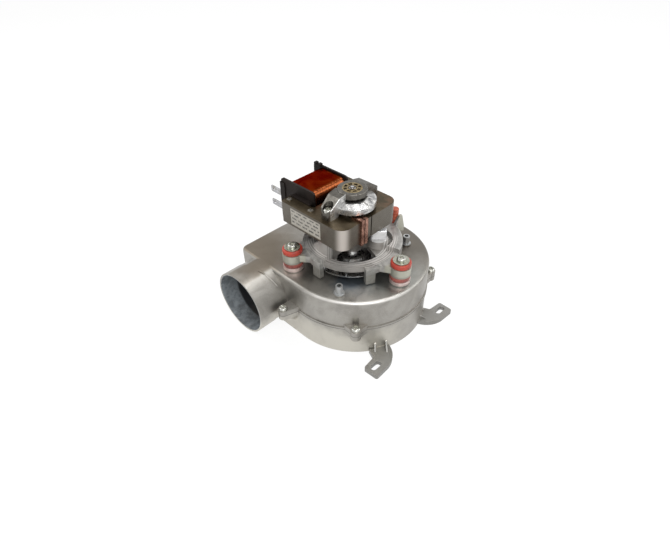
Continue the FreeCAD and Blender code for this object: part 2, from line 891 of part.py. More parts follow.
def post(x, y, top, base_radius, base_height):
    root = casing_height - casing_wall / 2
    stem = cylinder(post_radius, root, top, x, y)
    return stem.fuse(cylinder(base_radius, root, casing_height + base_height, x, y))


def casing_upper():
    shell = fused([casing_block(), parting_rim(upper_split, upper_split + rim_depth)])
    for x, y, reach, wing in lug_places():
        shell = shell.fuse(lug(x, y, reach, wing, upper_split, lug_seat))
    shell = between_heights(shell.fuse(spigot_neck()), upper_split, casing_height)
    shell = shell.fuse(spigot_cylinder(spigot_radius, neck_end_x, spigot_end_x))
    shell = shell.fuse(spigot_cylinder(spigot_radius - spigot_relief, neck_start_x, neck_end_x))
    shell = shell.fuse(neck_lip())
    mounts = posts_at(mount_angles)
    spares = posts_at(spare_post_angles)
    posts = [post(x, y, mount_post_top, mount_base_radius, mount_base_height) for x, y in mounts]
    posts += [post(x, y, spare_post_top, spare_base_radius, spare_base_height) for x, y in spares]
    posts.append(cylinder(seal_boss_radius, casing_height - casing_wall / 2, seal_top))
    shell = shell.fuse(posts).cut(casing_cavity())
    inside_x = neck_start_x + cut_margin
    shell = shell.cut(spigot_cylinder(spigot_bore_radius, inside_x, spigot_end_x - cut_margin))
    shell = shell.cut(cylinder(seal_radius, seal_bottom, seal_top + cut_margin))
    shell = shell.cut(cylinder(seal_radius - seal_ledge, casing_height - casing_wall - cut_margin, seal_top))
    thread = m4_radius + m4_thread_clearance
    shell = drilled(shell, thread, mount_post_top - post_thread_depth, mount_post_top + cut_margin, mounts)
    spare_bottom = spare_post_top - spare_thread_depth
    shell = drilled(shell, spare_hole_radius, spare_bottom, spare_post_top + cut_margin, spares)
    shell = drilled(shell, m4_radius + m4_hole_clearance, upper_split - cut_margin, lug_seat, lug_centres())
    groove_top = lug_seat + driver_groove_height
    shell = drilled(shell, lug_reach + driver_groove_depth, lug_seat, groove_top, lug_centres())
    return largest(shell.removeSplitter())


def casing_gasket():
    """A flat gasket between the halves; it follows the wall and stops at the spigot."""
    band = parting_rim(split_height, upper_split)
    for x, y, reach, wing in lug_places():
        band = band.fuse(lug(x, y, reach, wing, split_height, upper_split))
    band = band.cut(casing_cavity())
    seat_radius = spigot_radius + spigot_seat_clearance
    band = band.cut(spigot_cylinder(seat_radius, scroll_left_x + casing_wall + cut_margin, spigot_end_x))
    hole = m4_radius + m4_hole_clearance
    band = drilled(band, hole, split_height - cut_margin, upper_split + cut_margin, lug_centres())
    return group(band.removeSplitter().Solids)


def casing_screws():
    return group([pan_screw(x, y, lug_seat, lug_screw_tip) for x, y in lug_centres()])


# Rubber mounts

def grommet(x, y):
    """A rubber grommet with a waist that fills the eye of the bracket."""
    lower = cylinder(grommet_radius, grommet_bottom, eye_bottom, x, y)
    upper = cylinder(grommet_radius, eye_top, grommet_top, x, y)
    ends = [round_edges(end, grommet_edge_radius, is_round_rim) for end in (lower, upper)]
    waist = cylinder(grommet_waist_radius, eye_bottom - cut_margin, eye_top + cut_margin, x, y)
    bore = cylinder(post_radius, grommet_bottom - cut_margin, grommet_top + cut_margin, x, y)
    return fused(ends + [waist]).cut(bore)


def mount_grommets():
    return group([grommet(x, y) for x, y in posts_at(mount_angles)])


def mount_washers():
    hole = m4_radius + m4_hole_clearance
    places = posts_at(mount_angles)
    return group([tube(washer_radius, hole, grommet_top, washer_top, x, y) for x, y in places])


def mount_screws():
    tip = mount_post_top - post_thread_depth + screw_tip_gap
    return group([pan_screw(x, y, washer_top, tip) for x, y in posts_at(mount_angles)])


# Motor bracket

def bracket_ring():
    ring = tube(ring_outer_radius, ring_inner_radius, ring_bottom, ring_top)
    ring = ring.cut(cylinder(ring_step_radius, ring_top - ring_step_depth, ring_top + cut_margin))
    groove_inner = ring_groove_radius - ring_groove_width
    groove_bottom = ring_top - ring_groove_depth
    return ring.cut(tube(ring_groove_radius, groove_inner, groove_bottom, ring_top + cut_margin))


def bracket_stub(angle):
    """A rib on the ring that runs down beside the cooling fan."""
    bottom = casing_height + stub_clearance
    half = stub_width / 2
    rib = block(stub_inner_radius, stub_outer_radius, -half, half, bottom, ring_top - stub_clearance)
    return turned(rib.common(cylinder(stub_outer_radius, bottom, ring_top)), angle)


def bracket_arm(angle):
    """One arm from the ring out to the eye that holds a grommet."""
    half = arm_width / 2
    inner_x, spread = polar(ring_outer_radius - fan_inset, arm_root_angle)
    plate = prism(
        [(inner_x, -spread), (post_circle_radius, -half), (post_circle_radius, half), (inner_x, spread)],
        arm_bottom, eye_top,
    )
    top = ring_top - stub_clearance
    riser = sector(ring_step_radius, stub_outer_radius, -arm_root_angle, arm_root_angle, arm_bottom, top)
    eye = cylinder(eye_radius, eye_bottom, eye_top, post_circle_radius, 0)
    fan_room = cylinder(stub_inner_radius, 0, ring_bottom)
    return turned(fused([plate, riser, eye]).cut(fan_room), angle)


def bracket_shoulder():
    """The left side of the bracket, which climbs from the ring to the stator."""
    front = stator_screw_y - shoulder_front_reach
    end = stator_screw_y + shoulder_end_reach
    points = [
        (front, ring_bottom), (front, stack_bottom), (stator_screw_y + shoulder_top_reach, stack_bottom),
        (stator_screw_y + shoulder_bend_reach, shoulder_top), (end, shoulder_top), (end, ring_bottom),
    ]
    body = end_profile(points, -shoulder_outer_radius, shoulder_outer_radius - shoulder_inner_x)
    outer = cylinder(shoulder_outer_radius, ring_bottom, shoulder_top)
    upper = cylinder(stack_half_width, shoulder_top, stack_bottom)
    return body.common(outer.fuse(upper))


def bracket_pillar():
    """The right pillar under the end of a stator screw, joined to the ring."""
    y0 = stator_screw_y - pillar_half_width
    y1 = stator_screw_y + pillar_half_width
    x0 = stator_screw_x - pillar_half_width
    x1 = stator_screw_x + pillar_half_width
    body = rounded_block(x0, x1, y0, y1, ring_bottom, stack_bottom, pillar_corner_radius)
    return body.fuse(block(stator_screw_x, ring_step_radius, y0, y1, ring_bottom, ring_top - ring_step_depth))


def front_pillar():
    return cylinder(front_pillar_radius, ring_bottom, stack_bottom, front_pillar_x, front_pillar_y)


def boss_block():
    """The square boss on a round flared base, standing on the solid web."""
    low = web_top + boss_block_bottom
    half_width = boss_block_width / 2
    half_depth = boss_block_depth / 2
    body = rounded_block(
        -half_depth, half_depth, -half_width, half_width, web_top, low + boss_block_height, boss_block_radius
    )
    body = round_edges(body, boss_block_radius / 2, lambda edge: edge.BoundBox.ZMin > low)
    flare = Part.makeCone(boss_base_radius, boss_base_top_radius, boss_block_bottom, Vec(0, 0, web_top))
    body = turned(body.fuse(flare), boss_block_turn)
    body.translate(Vec(*polar(boss_block_distance, boss_block_angle), 0))
    return body


def bracket_spokes():
    """The spokes and the wide web that hold the lower bearing hub."""
    half = spoke_width / 2
    reach = ring_inner_radius + ring_width / 2
    straight = block(-reach, reach, stator_screw_y - half, stator_screw_y + half, ring_bottom, web_top)
    web = sector(hub_radius / 2, reach, web_start_angle, web_end_angle, ring_bottom, web_top)
    web_corner = polar(web_corner_radius, web_corner_angle)
    beside_web = prism([(0, 0), polar(reach, web_start_angle), web_corner], ring_bottom, web_top)
    rear = turned(block(0, reach, -half, half, ring_bottom, web_top), rear_spoke_angle)
    return [straight, web.cut(beside_web), rear]


def cap_place():
    return polar(cap_circle_radius, cap_angle)


def cap_wall_segment():
    """The thick wall on the right of the ring, hollowed out round the front pillar."""
    wall = sector(ring_inner_radius, wall_outer_radius, wall_start_angle, cap_angle, ring_bottom, wall_top)
    inner_edge = wall_outer_radius - wall_reach
    wall = round_edges(
        wall, wall_edge_radius,
        lambda edge: edge.BoundBox.ZMin > ring_top and edge.Length > inner_edge * 0.9,
    )
    high = wall_top + cut_margin
    well = cylinder(well_radius, web_top, high, *polar(well_distance, boss_block_angle))
    cap_room = cylinder(cap_radius + cap_clearance, ring_top, high, *cap_place())
    seat = cylinder(cap_seat_radius, ring_bottom, ring_top, *cap_place())
    half = cap_seat_radius - cut_margin
    bridge = block(ring_step_radius, cap_circle_radius, -half, half, ring_bottom, ring_top)
    return fused([wall.cut(well).cut(cap_room), seat, turned(bridge, cap_angle)])


def cap_fin():
    """The upright fin beside the rubber cap."""
    start = cap_circle_radius - cap_seat_radius
    front = -(cap_radius + fin_gap + fin_thickness)
    top = ring_top + fin_height
    foot_end = start + fin_length + fin_top_length
    points = [
        (start, ring_bottom), (foot_end, ring_bottom), (foot_end, ring_top),
        (start + fin_length, top), (start + fin_length - fin_top_length, top), (start, ring_top),
    ]
    plate = side_profile(points, front, fin_thickness)
    tie = block(ring_step_radius, foot_end, front, -cap_radius, ring_bottom, ring_top)
    return turned(plate.fuse(tie), cap_angle)


def cap_pin():
    x, y = cap_place()
    top = ring_top + cap_height - cap_radius - cap_pin_gap
    return cylinder(cap_radius - cap_wall - cap_pin_gap, ring_bottom, top, x, y)


def motor_bracket():
    parts = [bracket_ring(), cylinder(hub_radius, ring_bottom, hub_top)]
    for angle in mount_angles:
        parts.append(bracket_arm(angle))
        parts.append(bracket_stub(angle - stub_half_spread))
        parts.append(bracket_stub(angle + stub_half_spread))
    parts += [bracket_pillar(), bracket_shoulder(), front_pillar(), boss_block()]
    parts += bracket_spokes() + [cap_wall_segment(), cap_fin(), cap_pin()]
    body = fused(parts)
    low = eye_bottom - cut_margin
    body = drilled(body, grommet_waist_radius, low, eye_top + cut_margin, posts_at(mount_angles))
    thread = m4_radius + m4_thread_clearance
    body = drilled(body, thread, ring_bottom - cut_margin, stack_bottom + cut_margin, stator_screw_places())
    body = body.cut(cylinder(spacer_radius + spacer_gap, ring_bottom - cut_margin, hub_top))
    body = body.cut(cylinder(bearing_radius, lower_bearing_bottom, hub_top))
    body = body.cut(cylinder(retainer_radius, hub_top - retainer_thickness, hub_top + cut_margin))
    return largest(body.removeSplitter())


def rubber_cap():
    x, y = cap_place()
    top = ring_top + cap_height
    skin = cylinder(cap_radius, ring_top, top, x, y)
    skin = round_edges(skin, cap_radius * 0.9, lambda edge: edge.BoundBox.ZMin > ring_top + cap_height / 2)
    return skin.cut(cylinder(cap_radius - cap_wall, ring_top, top - cap_radius, x, y))


# Stator

def through_stack(shape, radius, places):
    return drilled(shape, radius, stack_bottom - cut_margin, stack_top + cut_margin, places)


def stator_screw_places():
    return [(side * stator_screw_x, stator_screw_y) for side in (-1, 1)]


def rivet_places():
    rows = (leg_rivet_front_y, leg_rivet_back_y)
    return [(side * rivet_x, y) for side in (-1, 1) for y in rows]


def yoke_outline():
    """The stack seen from above: small corners at the ends of the legs, large ones in front."""
    half = stack_half_width
    front = -yoke_half_depth
    past = leg_end_y + stack_corner_radius * 2
    legs = rounded_block(-half, half, front, leg_end_y, stack_bottom, stack_top, stack_back_corner_radius)
    blunt = rounded_block(-half, half, front, past, stack_bottom, stack_top, stack_corner_radius)
    return legs.common(blunt)


def shading_inner_y(x):
    """Where the inner leg of a shading ring stands, just clear of the bore."""
    near = abs(x) - shading_width / 2
    return -math.sqrt(bore_radius ** 2 - near ** 2) - shading_fit


def shading_ring(x):
    """A copper ring round the tip of the left pole."""
    half = shading_width / 2
    inner = shading_inner_y(x)
    low = stack_bottom - shading_thickness
    high = stack_top + shading_thickness
    loop = block(x - half, x + half, -yoke_half_depth - shading_thickness, inner, low, high)
    hole = block(x - half, x + half, -yoke_half_depth, inner - shading_thickness, stack_bottom, stack_top)
    return loop.cut(hole)


def shading_slot(x):
    half = shading_width / 2
    start = shading_inner_y(x) - shading_thickness
    return block(x - half, x + half, start, 0, stack_bottom - cut_margin, stack_top + cut_margin)


def all_shading(make):
    """A pair on the front of the left pole, and the same pair turned to the right pole."""
    front = [make(x) for x in shading_places]
    return front + [turned(shape, 180) for shape in front]


def pole_slit():
    """The saw cut in the front face that narrows the iron between the poles."""
    half = pole_slit_width / 2
    start = -yoke_half_depth - cut_margin
    end = -yoke_half_depth + pole_slit_depth
    return block(-half, half, start, end, stack_bottom - cut_margin, stack_top + cut_margin)


def stator_yoke():
    gap = block(
        -leg_inner_x, leg_inner_x, yoke_half_depth, leg_end_y + cut_margin,
        stack_bottom - cut_margin, stack_top + cut_margin,
    )
    body = through_stack(yoke_outline().cut(gap), bore_radius, [(0, 0)])
    for cutter in [pole_slit(), turned(pole_slit(), 180)] + all_shading(shading_slot):
        body = body.cut(cutter)
    body = through_stack(body, m4_radius + m4_hole_clearance, stator_screw_places())
    body = through_stack(body, rivet_radius, rivet_places())
    return largest(body.removeSplitter())


def stator_core():
    return block(-leg_inner_x, leg_inner_x, core_front_y, core_back_y, stack_bottom, stack_top)


def stator_rivets():
    low = stack_bottom - rivet_head_height
    high = stack_top + rivet_head_height
    rivets = []
    for x, y in rivet_places():
        shank = cylinder(rivet_radius, low, high, x, y)
        lower_head = cylinder(rivet_head_radius, low, stack_bottom, x, y)
        upper_head = cylinder(rivet_head_radius, stack_top, high, x, y)
        rivets.append(fused([shank, lower_head, upper_head]))
    return group(rivets)


def shading_rings():
    return group(all_shading(shading_ring))


# Coil

def around_core(reach, grow):
    """The core's outline grown by an amount, out to reach on both sides."""
    return block(
        -reach, reach, core_front_y - grow, core_back_y + grow, stack_bottom - grow, stack_top + grow
    )


def bobbin_end_plate():
    """The right end plate, with rounded corners and a lip that rests on the stator leg."""
    start = end_plate_x - end_plate_thickness
    plate = block(start, end_plate_x, end_plate_front_y, end_plate_back_y, end_plate_bottom, end_plate_top)
    plate = round_edges(
        plate, end_plate_corner_radius,
        lambda edge: abs(edge.BoundBox.XLength - end_plate_thickness) < end_plate_thickness / 100,
    )
    lip = block(
        start, leg_inner_x + lip_overlap, end_plate_front_y + lip_end_gap, leg_end_y - lip_end_gap,
        stack_top, stack_top + lip_thickness,
    )
    return plate.fuse(lip)


def terminal_block():
    """The thick back edge of the left end plate, where the terminals leave."""
    x0 = terminal_x - terminal_block_width / 2
    return block(
        x0, x0 + terminal_block_width, terminal_root_y - terminal_block_depth, terminal_root_y,
        end_plate_bottom + lip_thickness, end_plate_top - terminal_block_width,
    )


def bobbin_hook():
    """The notched hook on the back corner of the right end plate."""
    end = end_plate_back_y - hook_back_gap
    start = end_plate_x - end_plate_thickness - hook_height
    low = end_plate_top - end_plate_rise
    body = block(start, end_plate_x, end - hook_length, end, low, end_plate_top + hook_height)
    middle = end - hook_length / 2
    half = hook_notch / 2
    high = end_plate_top + hook_height
    return body.cut(block(start, end_plate_x, middle - half, middle + half, end_plate_top, high))


def terminal_heights():
    middle = stack_middle - terminal_drop
    return middle + terminal_spacing / 2, middle - terminal_spacing / 2


def terminal_blade(z):
    half = terminal_thickness / 2
    half_width = terminal_width / 2
    start = terminal_root_y - terminal_seat_depth
    return block(terminal_x - half, terminal_x + half, start, terminal_tip_y, z - half_width, z + half_width)


def coil_bobbin():
    sleeve = around_core(end_plate_x - end_plate_thickness / 2, bobbin_wall)
    end_plate = bobbin_end_plate()
    body = fused([sleeve, end_plate, mirrored(end_plate), terminal_block(), bobbin_hook()])
    body = body.cut(around_core(leg_inner_x, 0))
    for z in terminal_heights():
        body = body.cut(terminal_blade(z))
    return largest(body.removeSplitter())


def coil_winding():
    reach = end_plate_x - end_plate_thickness
    body = around_core(reach, bobbin_wall + winding_depth)
    body = round_edges(body, winding_corner_radius, lambda edge: edge.BoundBox.XLength > reach)
    return body.cut(around_core(reach, bobbin_wall))


def spade_terminal(z):
    half = terminal_thickness / 2
    blade = round_edges(
        terminal_blade(z), terminal_corner_radius,
        lambda edge: edge.BoundBox.YMin > terminal_root_y and edge.BoundBox.XLength > half,
    )
    start = Vec(terminal_x - terminal_thickness, terminal_tip_y - terminal_hole_distance, z)
    return blade.cut(Part.makeCylinder(terminal_hole_radius, terminal_thickness * 2, start, X_AXIS))


def spade_terminals():
    return group([spade_terminal(z) for z in terminal_heights()])


def label_plate():
    x = -stack_half_width
    half = label_height / 2
    end_y = label_start_y + label_length
    return block(x - label_thickness, x, label_start_y, end_y, stack_middle - half, stack_middle + half)


# Bearing bridge

def bridge_arm():
    """The right arm: a sloping plate from the boss down to a tall block round its screw."""
    inner = boss_radius / 2 + bearing_seat_wall
    foot_back = stator_screw_x - bridge_foot_back
    foot_end = stator_screw_x + bridge_foot_reach
    high = boss_top - boss_edge_radius
    shoulder = (boss_radius + bridge_shoulder_reach, boss_top - bridge_shoulder_drop)
    points = [
        (inner, high), (boss_radius, high), shoulder,
        (foot_end - bridge_foot_batter, stack_top + bridge_foot_height),
        (foot_end, stack_top + bridge_screw_seat), (foot_end, stack_top), (foot_back, stack_top),
        (inner, boss_top - boss_height),
    ]
    start_y = stator_screw_y - bridge_arm_width / 2
    body = side_profile(points, start_y, bridge_arm_root_width)
    outline = prism(
        [(0, start_y), (foot_end, start_y), (foot_end, start_y + bridge_arm_width),
         (0, start_y + bridge_arm_root_width)],
        stack_top, boss_top,
    )
    outline = round_edges(
        outline, bridge_arm_radius, lambda edge: is_upright(edge) and edge.BoundBox.XMin > stator_screw_x
    )
    return body.common(outline)


def bridge_skirt():
    """The cone round the boss, thick enough to stay clear of the rotor's vanes."""
    ring_bore = bridge_ring_radius - bridge_ring_wall / 2
    return revolved([
        (bearing_radius, skirt_root_top), (skirt_bend_radius, skirt_bend_top),
        (bridge_ring_radius, bridge_ring_top), (bridge_ring_radius, bridge_ring_bottom),
        (ring_bore, bridge_ring_bottom), (ring_bore, bridge_ring_top - skirt_thickness),
        (skirt_bend_radius, skirt_bend_top - skirt_thickness),
        (bearing_radius, skirt_root_top - skirt_thickness),
    ])


def skirt_strip(width, rise):
    """A radial strip that stands above the slope of the skirt by a small rise."""
    start = boss_radius - rise
    end = math.sqrt((bridge_ring_radius - rise) ** 2 - (width / 2) ** 2)
    sunk = skirt_thickness / 2
    points = [
        (start, skirt_bend_top + rise), (skirt_bend_radius, skirt_bend_top + rise),
        (end, bridge_ring_top + rise), (end, bridge_ring_top - sunk),
        (skirt_bend_radius, skirt_bend_top - sunk), (start, skirt_bend_top - sunk),
    ]
    return side_profile(points, -width / 2, width)


def bearing_bridge():
    boss = cylinder(boss_radius, boss_top - boss_height, boss_top)
    boss = round_edges(boss, boss_edge_radius, is_round_rim)
    seat = cylinder(bridge_seat_radius, upper_seat_bottom, boss_top - boss_edge_radius)
    arm = bridge_arm()
    strips = [turned(skirt_strip(bridge_rib_width, bridge_rib_rise), angle) for angle in bridge_rib_angles]
    strips.append(turned(skirt_strip(skirt_pad_width, skirt_pad_rise), skirt_pad_angle))
    body = fused([bridge_skirt(), boss, seat, arm, mirrored(arm)] + strips)
    body = body.cut(cylinder(spacer_radius + spacer_gap, stack_top, boss_top))
    body = body.cut(cylinder(bearing_radius, upper_bearing_bottom, boss_top))
    body = body.cut(cylinder(retainer_radius, upper_bearing_top, boss_top + cut_margin))
    hole = m4_radius + m4_hole_clearance
    body = drilled(body, hole, stack_top - cut_margin, bridge_screw_height, stator_screw_places())
    pocket = m4_head_radius + head_pocket_gap
    body = drilled(body, pocket, bridge_screw_height, boss_top, stator_screw_places())
    return largest(body.removeSplitter())


def stator_screws():
    tip = ring_bottom + screw_tip_gap
    return group([pan_screw(x, y, bridge_screw_height, tip) for x, y in stator_screw_places()])


# Bearings

def bearing(bottom):
    body = cylinder(bearing_radius, bottom, bottom + bearing_length)
    body = round_edges(body, bearing_edge_radius, is_round_rim)
    bore = shaft_radius + running_clearance
    return body.cut(cylinder(bore, bottom - cut_margin, bottom + bearing_length + cut_margin))


def lower_bearing():
    return bearing(lower_bearing_bottom)


def upper_bearing():
    return bearing(upper_bearing_bottom)


def lower_felt():
    inner = thrust_washer_radius + spacer_gap
    return tube(bearing_radius, inner, lower_bearing_top, lower_bearing_top + lower_felt_thickness)


def upper_felt():
    top = upper_bearing_top + upper_felt_thickness
    return tube(bearing_radius, shaft_radius + felt_gap, upper_bearing_top, top)


def lower_retainer():
    return tube(retainer_radius, thrust_washer_radius + spacer_gap, hub_top - retainer_thickness, hub_top)


def upper_retainer():
    bottom = boss_top - retainer_thickness
    inner = shaft_radius + retainer_gap
    plate = tube(retainer_radius, inner, bottom, boss_top)
    half = retainer_notch_width / 2
    notch = block(0, inner + retainer_notch_depth, -half, half, bottom - cut_margin, boss_top + cut_margin)
    for index in range(retainer_notch_count):
        plate = plate.cut(turned(notch, index * 360 / retainer_notch_count))
    return plate


# Rotor

def shaft():
    body = cylinder(shaft_radius, shaft_bottom, shaft_top)
    return body.makeChamfer(shaft_chamfer, [edge for edge in body.Edges if is_round_rim(edge)])


def cage_bar_places():
    radius = rotor_radius - cage_bar_inset
    return [polar(radius, index * 360 / cage_bar_count) for index in range(cage_bar_count)]


def rotor_core():
    body = tube(rotor_radius, shaft_radius, stack_bottom, stack_top)
    return through_stack(body, cage_bar_radius, cage_bar_places())


def end_ring(ring_z, vane_z):
    """A cast end ring and its small cooling vanes, from their two lower heights."""
    outer = rotor_radius - end_ring_inset
    parts = [tube(outer, end_ring_bore, ring_z, ring_z + end_ring_height)]
    half = vane_width / 2
    tip = outer - end_ring_inset
    vane = block(tip - vane_length, tip, -half, half, vane_z, vane_z + vane_height)
    parts += [turned(vane, index * 360 / vane_count) for index in range(vane_count)]
    return parts


def rotor_cage():
    """Both end rings and the bars that join them through the core."""
    low = stack_bottom - end_ring_height
    parts = end_ring(stack_top, stack_top + end_ring_height) + end_ring(low, low - vane_height)
    parts += [cylinder(cage_bar_radius, stack_bottom, stack_top, x, y) for x, y in cage_bar_places()]
    return fused(parts)


def shaft_collars():
    """The spacer sleeves pressed on the shaft on each side of the rotor core."""
    lower = tube(spacer_radius, shaft_radius, lower_washer_bottom + thrust_washer_thickness, stack_bottom)
    upper = tube(spacer_radius, shaft_radius, stack_top, upper_washer_bottom)
    return group([lower, upper])


def thrust_washers():
    return group([
        tube(thrust_washer_radius, shaft_radius, bottom, bottom + thrust_washer_thickness)
        for bottom in (lower_washer_bottom, upper_washer_bottom)
    ])


def cooling_fan():
    hub_bottom = fan_bottom - fan_hub_drop
    hub_end = fan_bottom + fan_hub_height
    disc = cylinder(fan_radius, fan_bottom, fan_top)
    dish = cylinder(fan_dish_radius, fan_bottom, fan_top + fan_dish_height)
    hub = cylinder(fan_hub_radius, hub_bottom, hub_end)
    outer = fan_radius - end_ring_inset
    half = fan_blade_thickness / 2
    blade = block(outer - fan_blade_length, outer, -half, half, fan_top, fan_top + fan_blade_height)
    blades = [turned(blade, index * 360 / fan_blade_count) for index in range(fan_blade_count)]
    return fused([disc, dish, hub] + blades).cut(cylinder(shaft_radius, hub_bottom, hub_end))


# Shaft seal

def shaft_seal():
    return tube(seal_radius, shaft_radius + seal_bore_clearance, seal_bottom, seal_top)


def seal_plate():
    top = seal_top + seal_plate_thickness
    return tube(seal_boss_radius, shaft_radius + seal_plate_clearance, seal_top, top)


# Impeller

def hub_rivet_places():
    step = 360 / hub_rivet_count
    return [polar(hub_rivet_circle, (index + 0.5) * step) for index in range(hub_rivet_count)]


def impeller_disc():
    plate = tube(impeller_radius, shaft_radius, impeller_plate_bottom, impeller_top)
    return drilled(plate, hub_rivet_radius, impeller_plate_bottom, impeller_top, hub_rivet_places())


def impeller_blade():
    """A blade curved along an arc, from the inner edge of the shroud out to the rim."""
    inner = shroud_inner_radius
    outer = impeller_radius - blade_inset
    start = Vec(*polar(inner, 0), blade_bottom)
    middle = Vec(*polar((inner + outer) / 2, blade_sweep * blade_bow), blade_bottom)
    end = Vec(*polar(outer, blade_sweep), blade_bottom)
    path = Part.Wire([Part.Arc(start, middle, end).toShape()])
    band = path.makeOffset2D(blade_thickness / 2, fill=True, openResult=False)
    return band.extrude(Vec(0, 0, impeller_plate_bottom - blade_bottom))


def impeller_blades():
    blade = impeller_blade()
    return group([turned(blade, index * 360 / blade_count) for index in range(blade_count)])


def impeller_shroud():
    ring = tube(impeller_radius, shroud_inner_radius, blade_bottom - shroud_thickness, blade_bottom)
    lip = tube(shroud_inner_radius + shroud_lip_thickness, shroud_inner_radius, shroud_bottom, blade_bottom)
    return ring.fuse(lip).removeSplitter()


def impeller_hub():
    flange_bottom = impeller_plate_bottom - impeller_flange_thickness
    flange = cylinder(impeller_flange_radius, flange_bottom, impeller_plate_bottom)
    body = cylinder(impeller_hub_radius, impeller_hub_bottom, impeller_plate_bottom).fuse(flange)
    body = body.cut(cylinder(shaft_radius, impeller_hub_bottom, impeller_plate_bottom))
    body = drilled(body, hub_rivet_radius, flange_bottom, impeller_plate_bottom, hub_rivet_places())
    return largest(body.removeSplitter())


def hub_rivets():
    low = impeller_plate_bottom - impeller_flange_thickness
    head_radius = hub_rivet_radius + hub_rivet_head_overlap
    rivets = []
    for x, y in hub_rivet_places():
        shank = cylinder(hub_rivet_radius, low, impeller_top, x, y)
        lower_head = cylinder(head_radius, low - hub_rivet_head_height, low, x, y)
        upper_head = cylinder(head_radius, impeller_top, impeller_top + hub_rivet_head_height, x, y)
        rivets.append(fused([shank, lower_head, upper_head]))
    return group(rivets)


def impeller_washer():
    bottom = impeller_hub_bottom - impeller_washer_thickness
    return tube(impeller_washer_radius, shaft_radius, bottom, impeller_hub_bottom)


def impeller_nut():
    top = nut_bottom + nut_height
    corner_radius = nut_across_flats / 2 / math.cos(math.radians(30))
    corners = [polar(corner_radius, index * 60) for index in range(6)]
    return prism(corners, nut_bottom, top).cut(cylinder(shaft_radius, nut_bottom, top))


SUBPARTS = {
    "casing_lower": casing_lower,
    "casing_upper": casing_upper,
    "casing_gasket": casing_gasket,
    "casing_screws": casing_screws,
    "mount_grommets": mount_grommets,
    "mount_washers": mount_washers,
    "mount_screws": mount_screws,
    "motor_bracket": motor_bracket,
    "rubber_cap": rubber_cap,
    "stator_yoke": stator_yoke,
    "stator_core": stator_core,
    "stator_rivets": stator_rivets,
    "shading_rings": shading_rings,
    "coil_bobbin": coil_bobbin,
    "coil_winding": coil_winding,
    "spade_terminals": spade_terminals,
    "label_plate": label_plate,
    "bearing_bridge": bearing_bridge,
    "stator_screws": stator_screws,
    "upper_bearing": upper_bearing,
    "upper_felt": upper_felt,
    "upper_retainer": upper_retainer,
    "lower_bearing": lower_bearing,
    "lower_felt": lower_felt,
    "lower_retainer": lower_retainer,
    "shaft_seal": shaft_seal,
    "seal_plate": seal_plate,
    "shaft": shaft,
    "rotor_core": rotor_core,
    "rotor_cage": rotor_cage,
    "shaft_collars": shaft_collars,
    "thrust_washers": thrust_washers,
    "cooling_fan": cooling_fan,
    "impeller_disc": impeller_disc,
    "impeller_blades": impeller_blades,
    "impeller_shroud": impeller_shroud,
    "impeller_hub": impeller_hub,
    "hub_rivets": hub_rivets,
    "impeller_washer": impeller_washer,
    "impeller_nut": impeller_nut,
}

os.makedirs("parts", exist_ok=True)
for name, make in SUBPARTS.items():
    shape = make()
    shape.exportStep("parts/" + name + ".step")
    print(name, "solids", len(shape.Solids), "valid", shape.isValid())
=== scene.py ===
import bmesh
import bpy
import json
import math
from mathutils import Matrix, Vector


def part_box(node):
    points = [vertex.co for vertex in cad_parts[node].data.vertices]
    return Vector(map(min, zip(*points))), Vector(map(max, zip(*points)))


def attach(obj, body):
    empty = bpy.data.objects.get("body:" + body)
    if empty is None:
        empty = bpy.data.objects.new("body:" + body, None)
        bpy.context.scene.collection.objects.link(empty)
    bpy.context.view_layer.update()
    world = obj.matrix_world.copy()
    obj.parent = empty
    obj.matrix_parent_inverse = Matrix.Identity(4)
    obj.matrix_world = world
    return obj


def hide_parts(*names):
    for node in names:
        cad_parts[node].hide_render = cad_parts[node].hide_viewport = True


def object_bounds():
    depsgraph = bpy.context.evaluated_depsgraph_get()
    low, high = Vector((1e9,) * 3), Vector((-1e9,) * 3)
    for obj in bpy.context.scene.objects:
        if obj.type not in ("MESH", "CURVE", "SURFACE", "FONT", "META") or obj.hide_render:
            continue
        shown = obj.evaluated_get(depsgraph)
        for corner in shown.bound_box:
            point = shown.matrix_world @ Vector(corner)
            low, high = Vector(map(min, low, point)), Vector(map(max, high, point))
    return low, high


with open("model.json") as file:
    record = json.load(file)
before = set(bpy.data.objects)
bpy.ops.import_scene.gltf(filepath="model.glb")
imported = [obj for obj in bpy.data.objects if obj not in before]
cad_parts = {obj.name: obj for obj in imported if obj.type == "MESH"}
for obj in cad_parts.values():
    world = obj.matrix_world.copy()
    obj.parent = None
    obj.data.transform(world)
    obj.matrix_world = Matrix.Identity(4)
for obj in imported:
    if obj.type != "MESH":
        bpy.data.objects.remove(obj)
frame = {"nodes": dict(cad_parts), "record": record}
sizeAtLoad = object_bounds()
nodes = frame["nodes"]
print("frame loaded, nodes:", len(nodes))


# camera, fitted to the photograph

camera = {
    "spot": (-0.2576, -0.2348, 0.3266),
    "azimuth": 224.23,
    "elevation": 39.24,
    "roll": -0.42,
    "sensor": 36.0,
    "lens": 25.81,
    "shiftX": -0.0060,
    "shiftY": -0.0021,
    "clip": (0.01, 50.0),
}


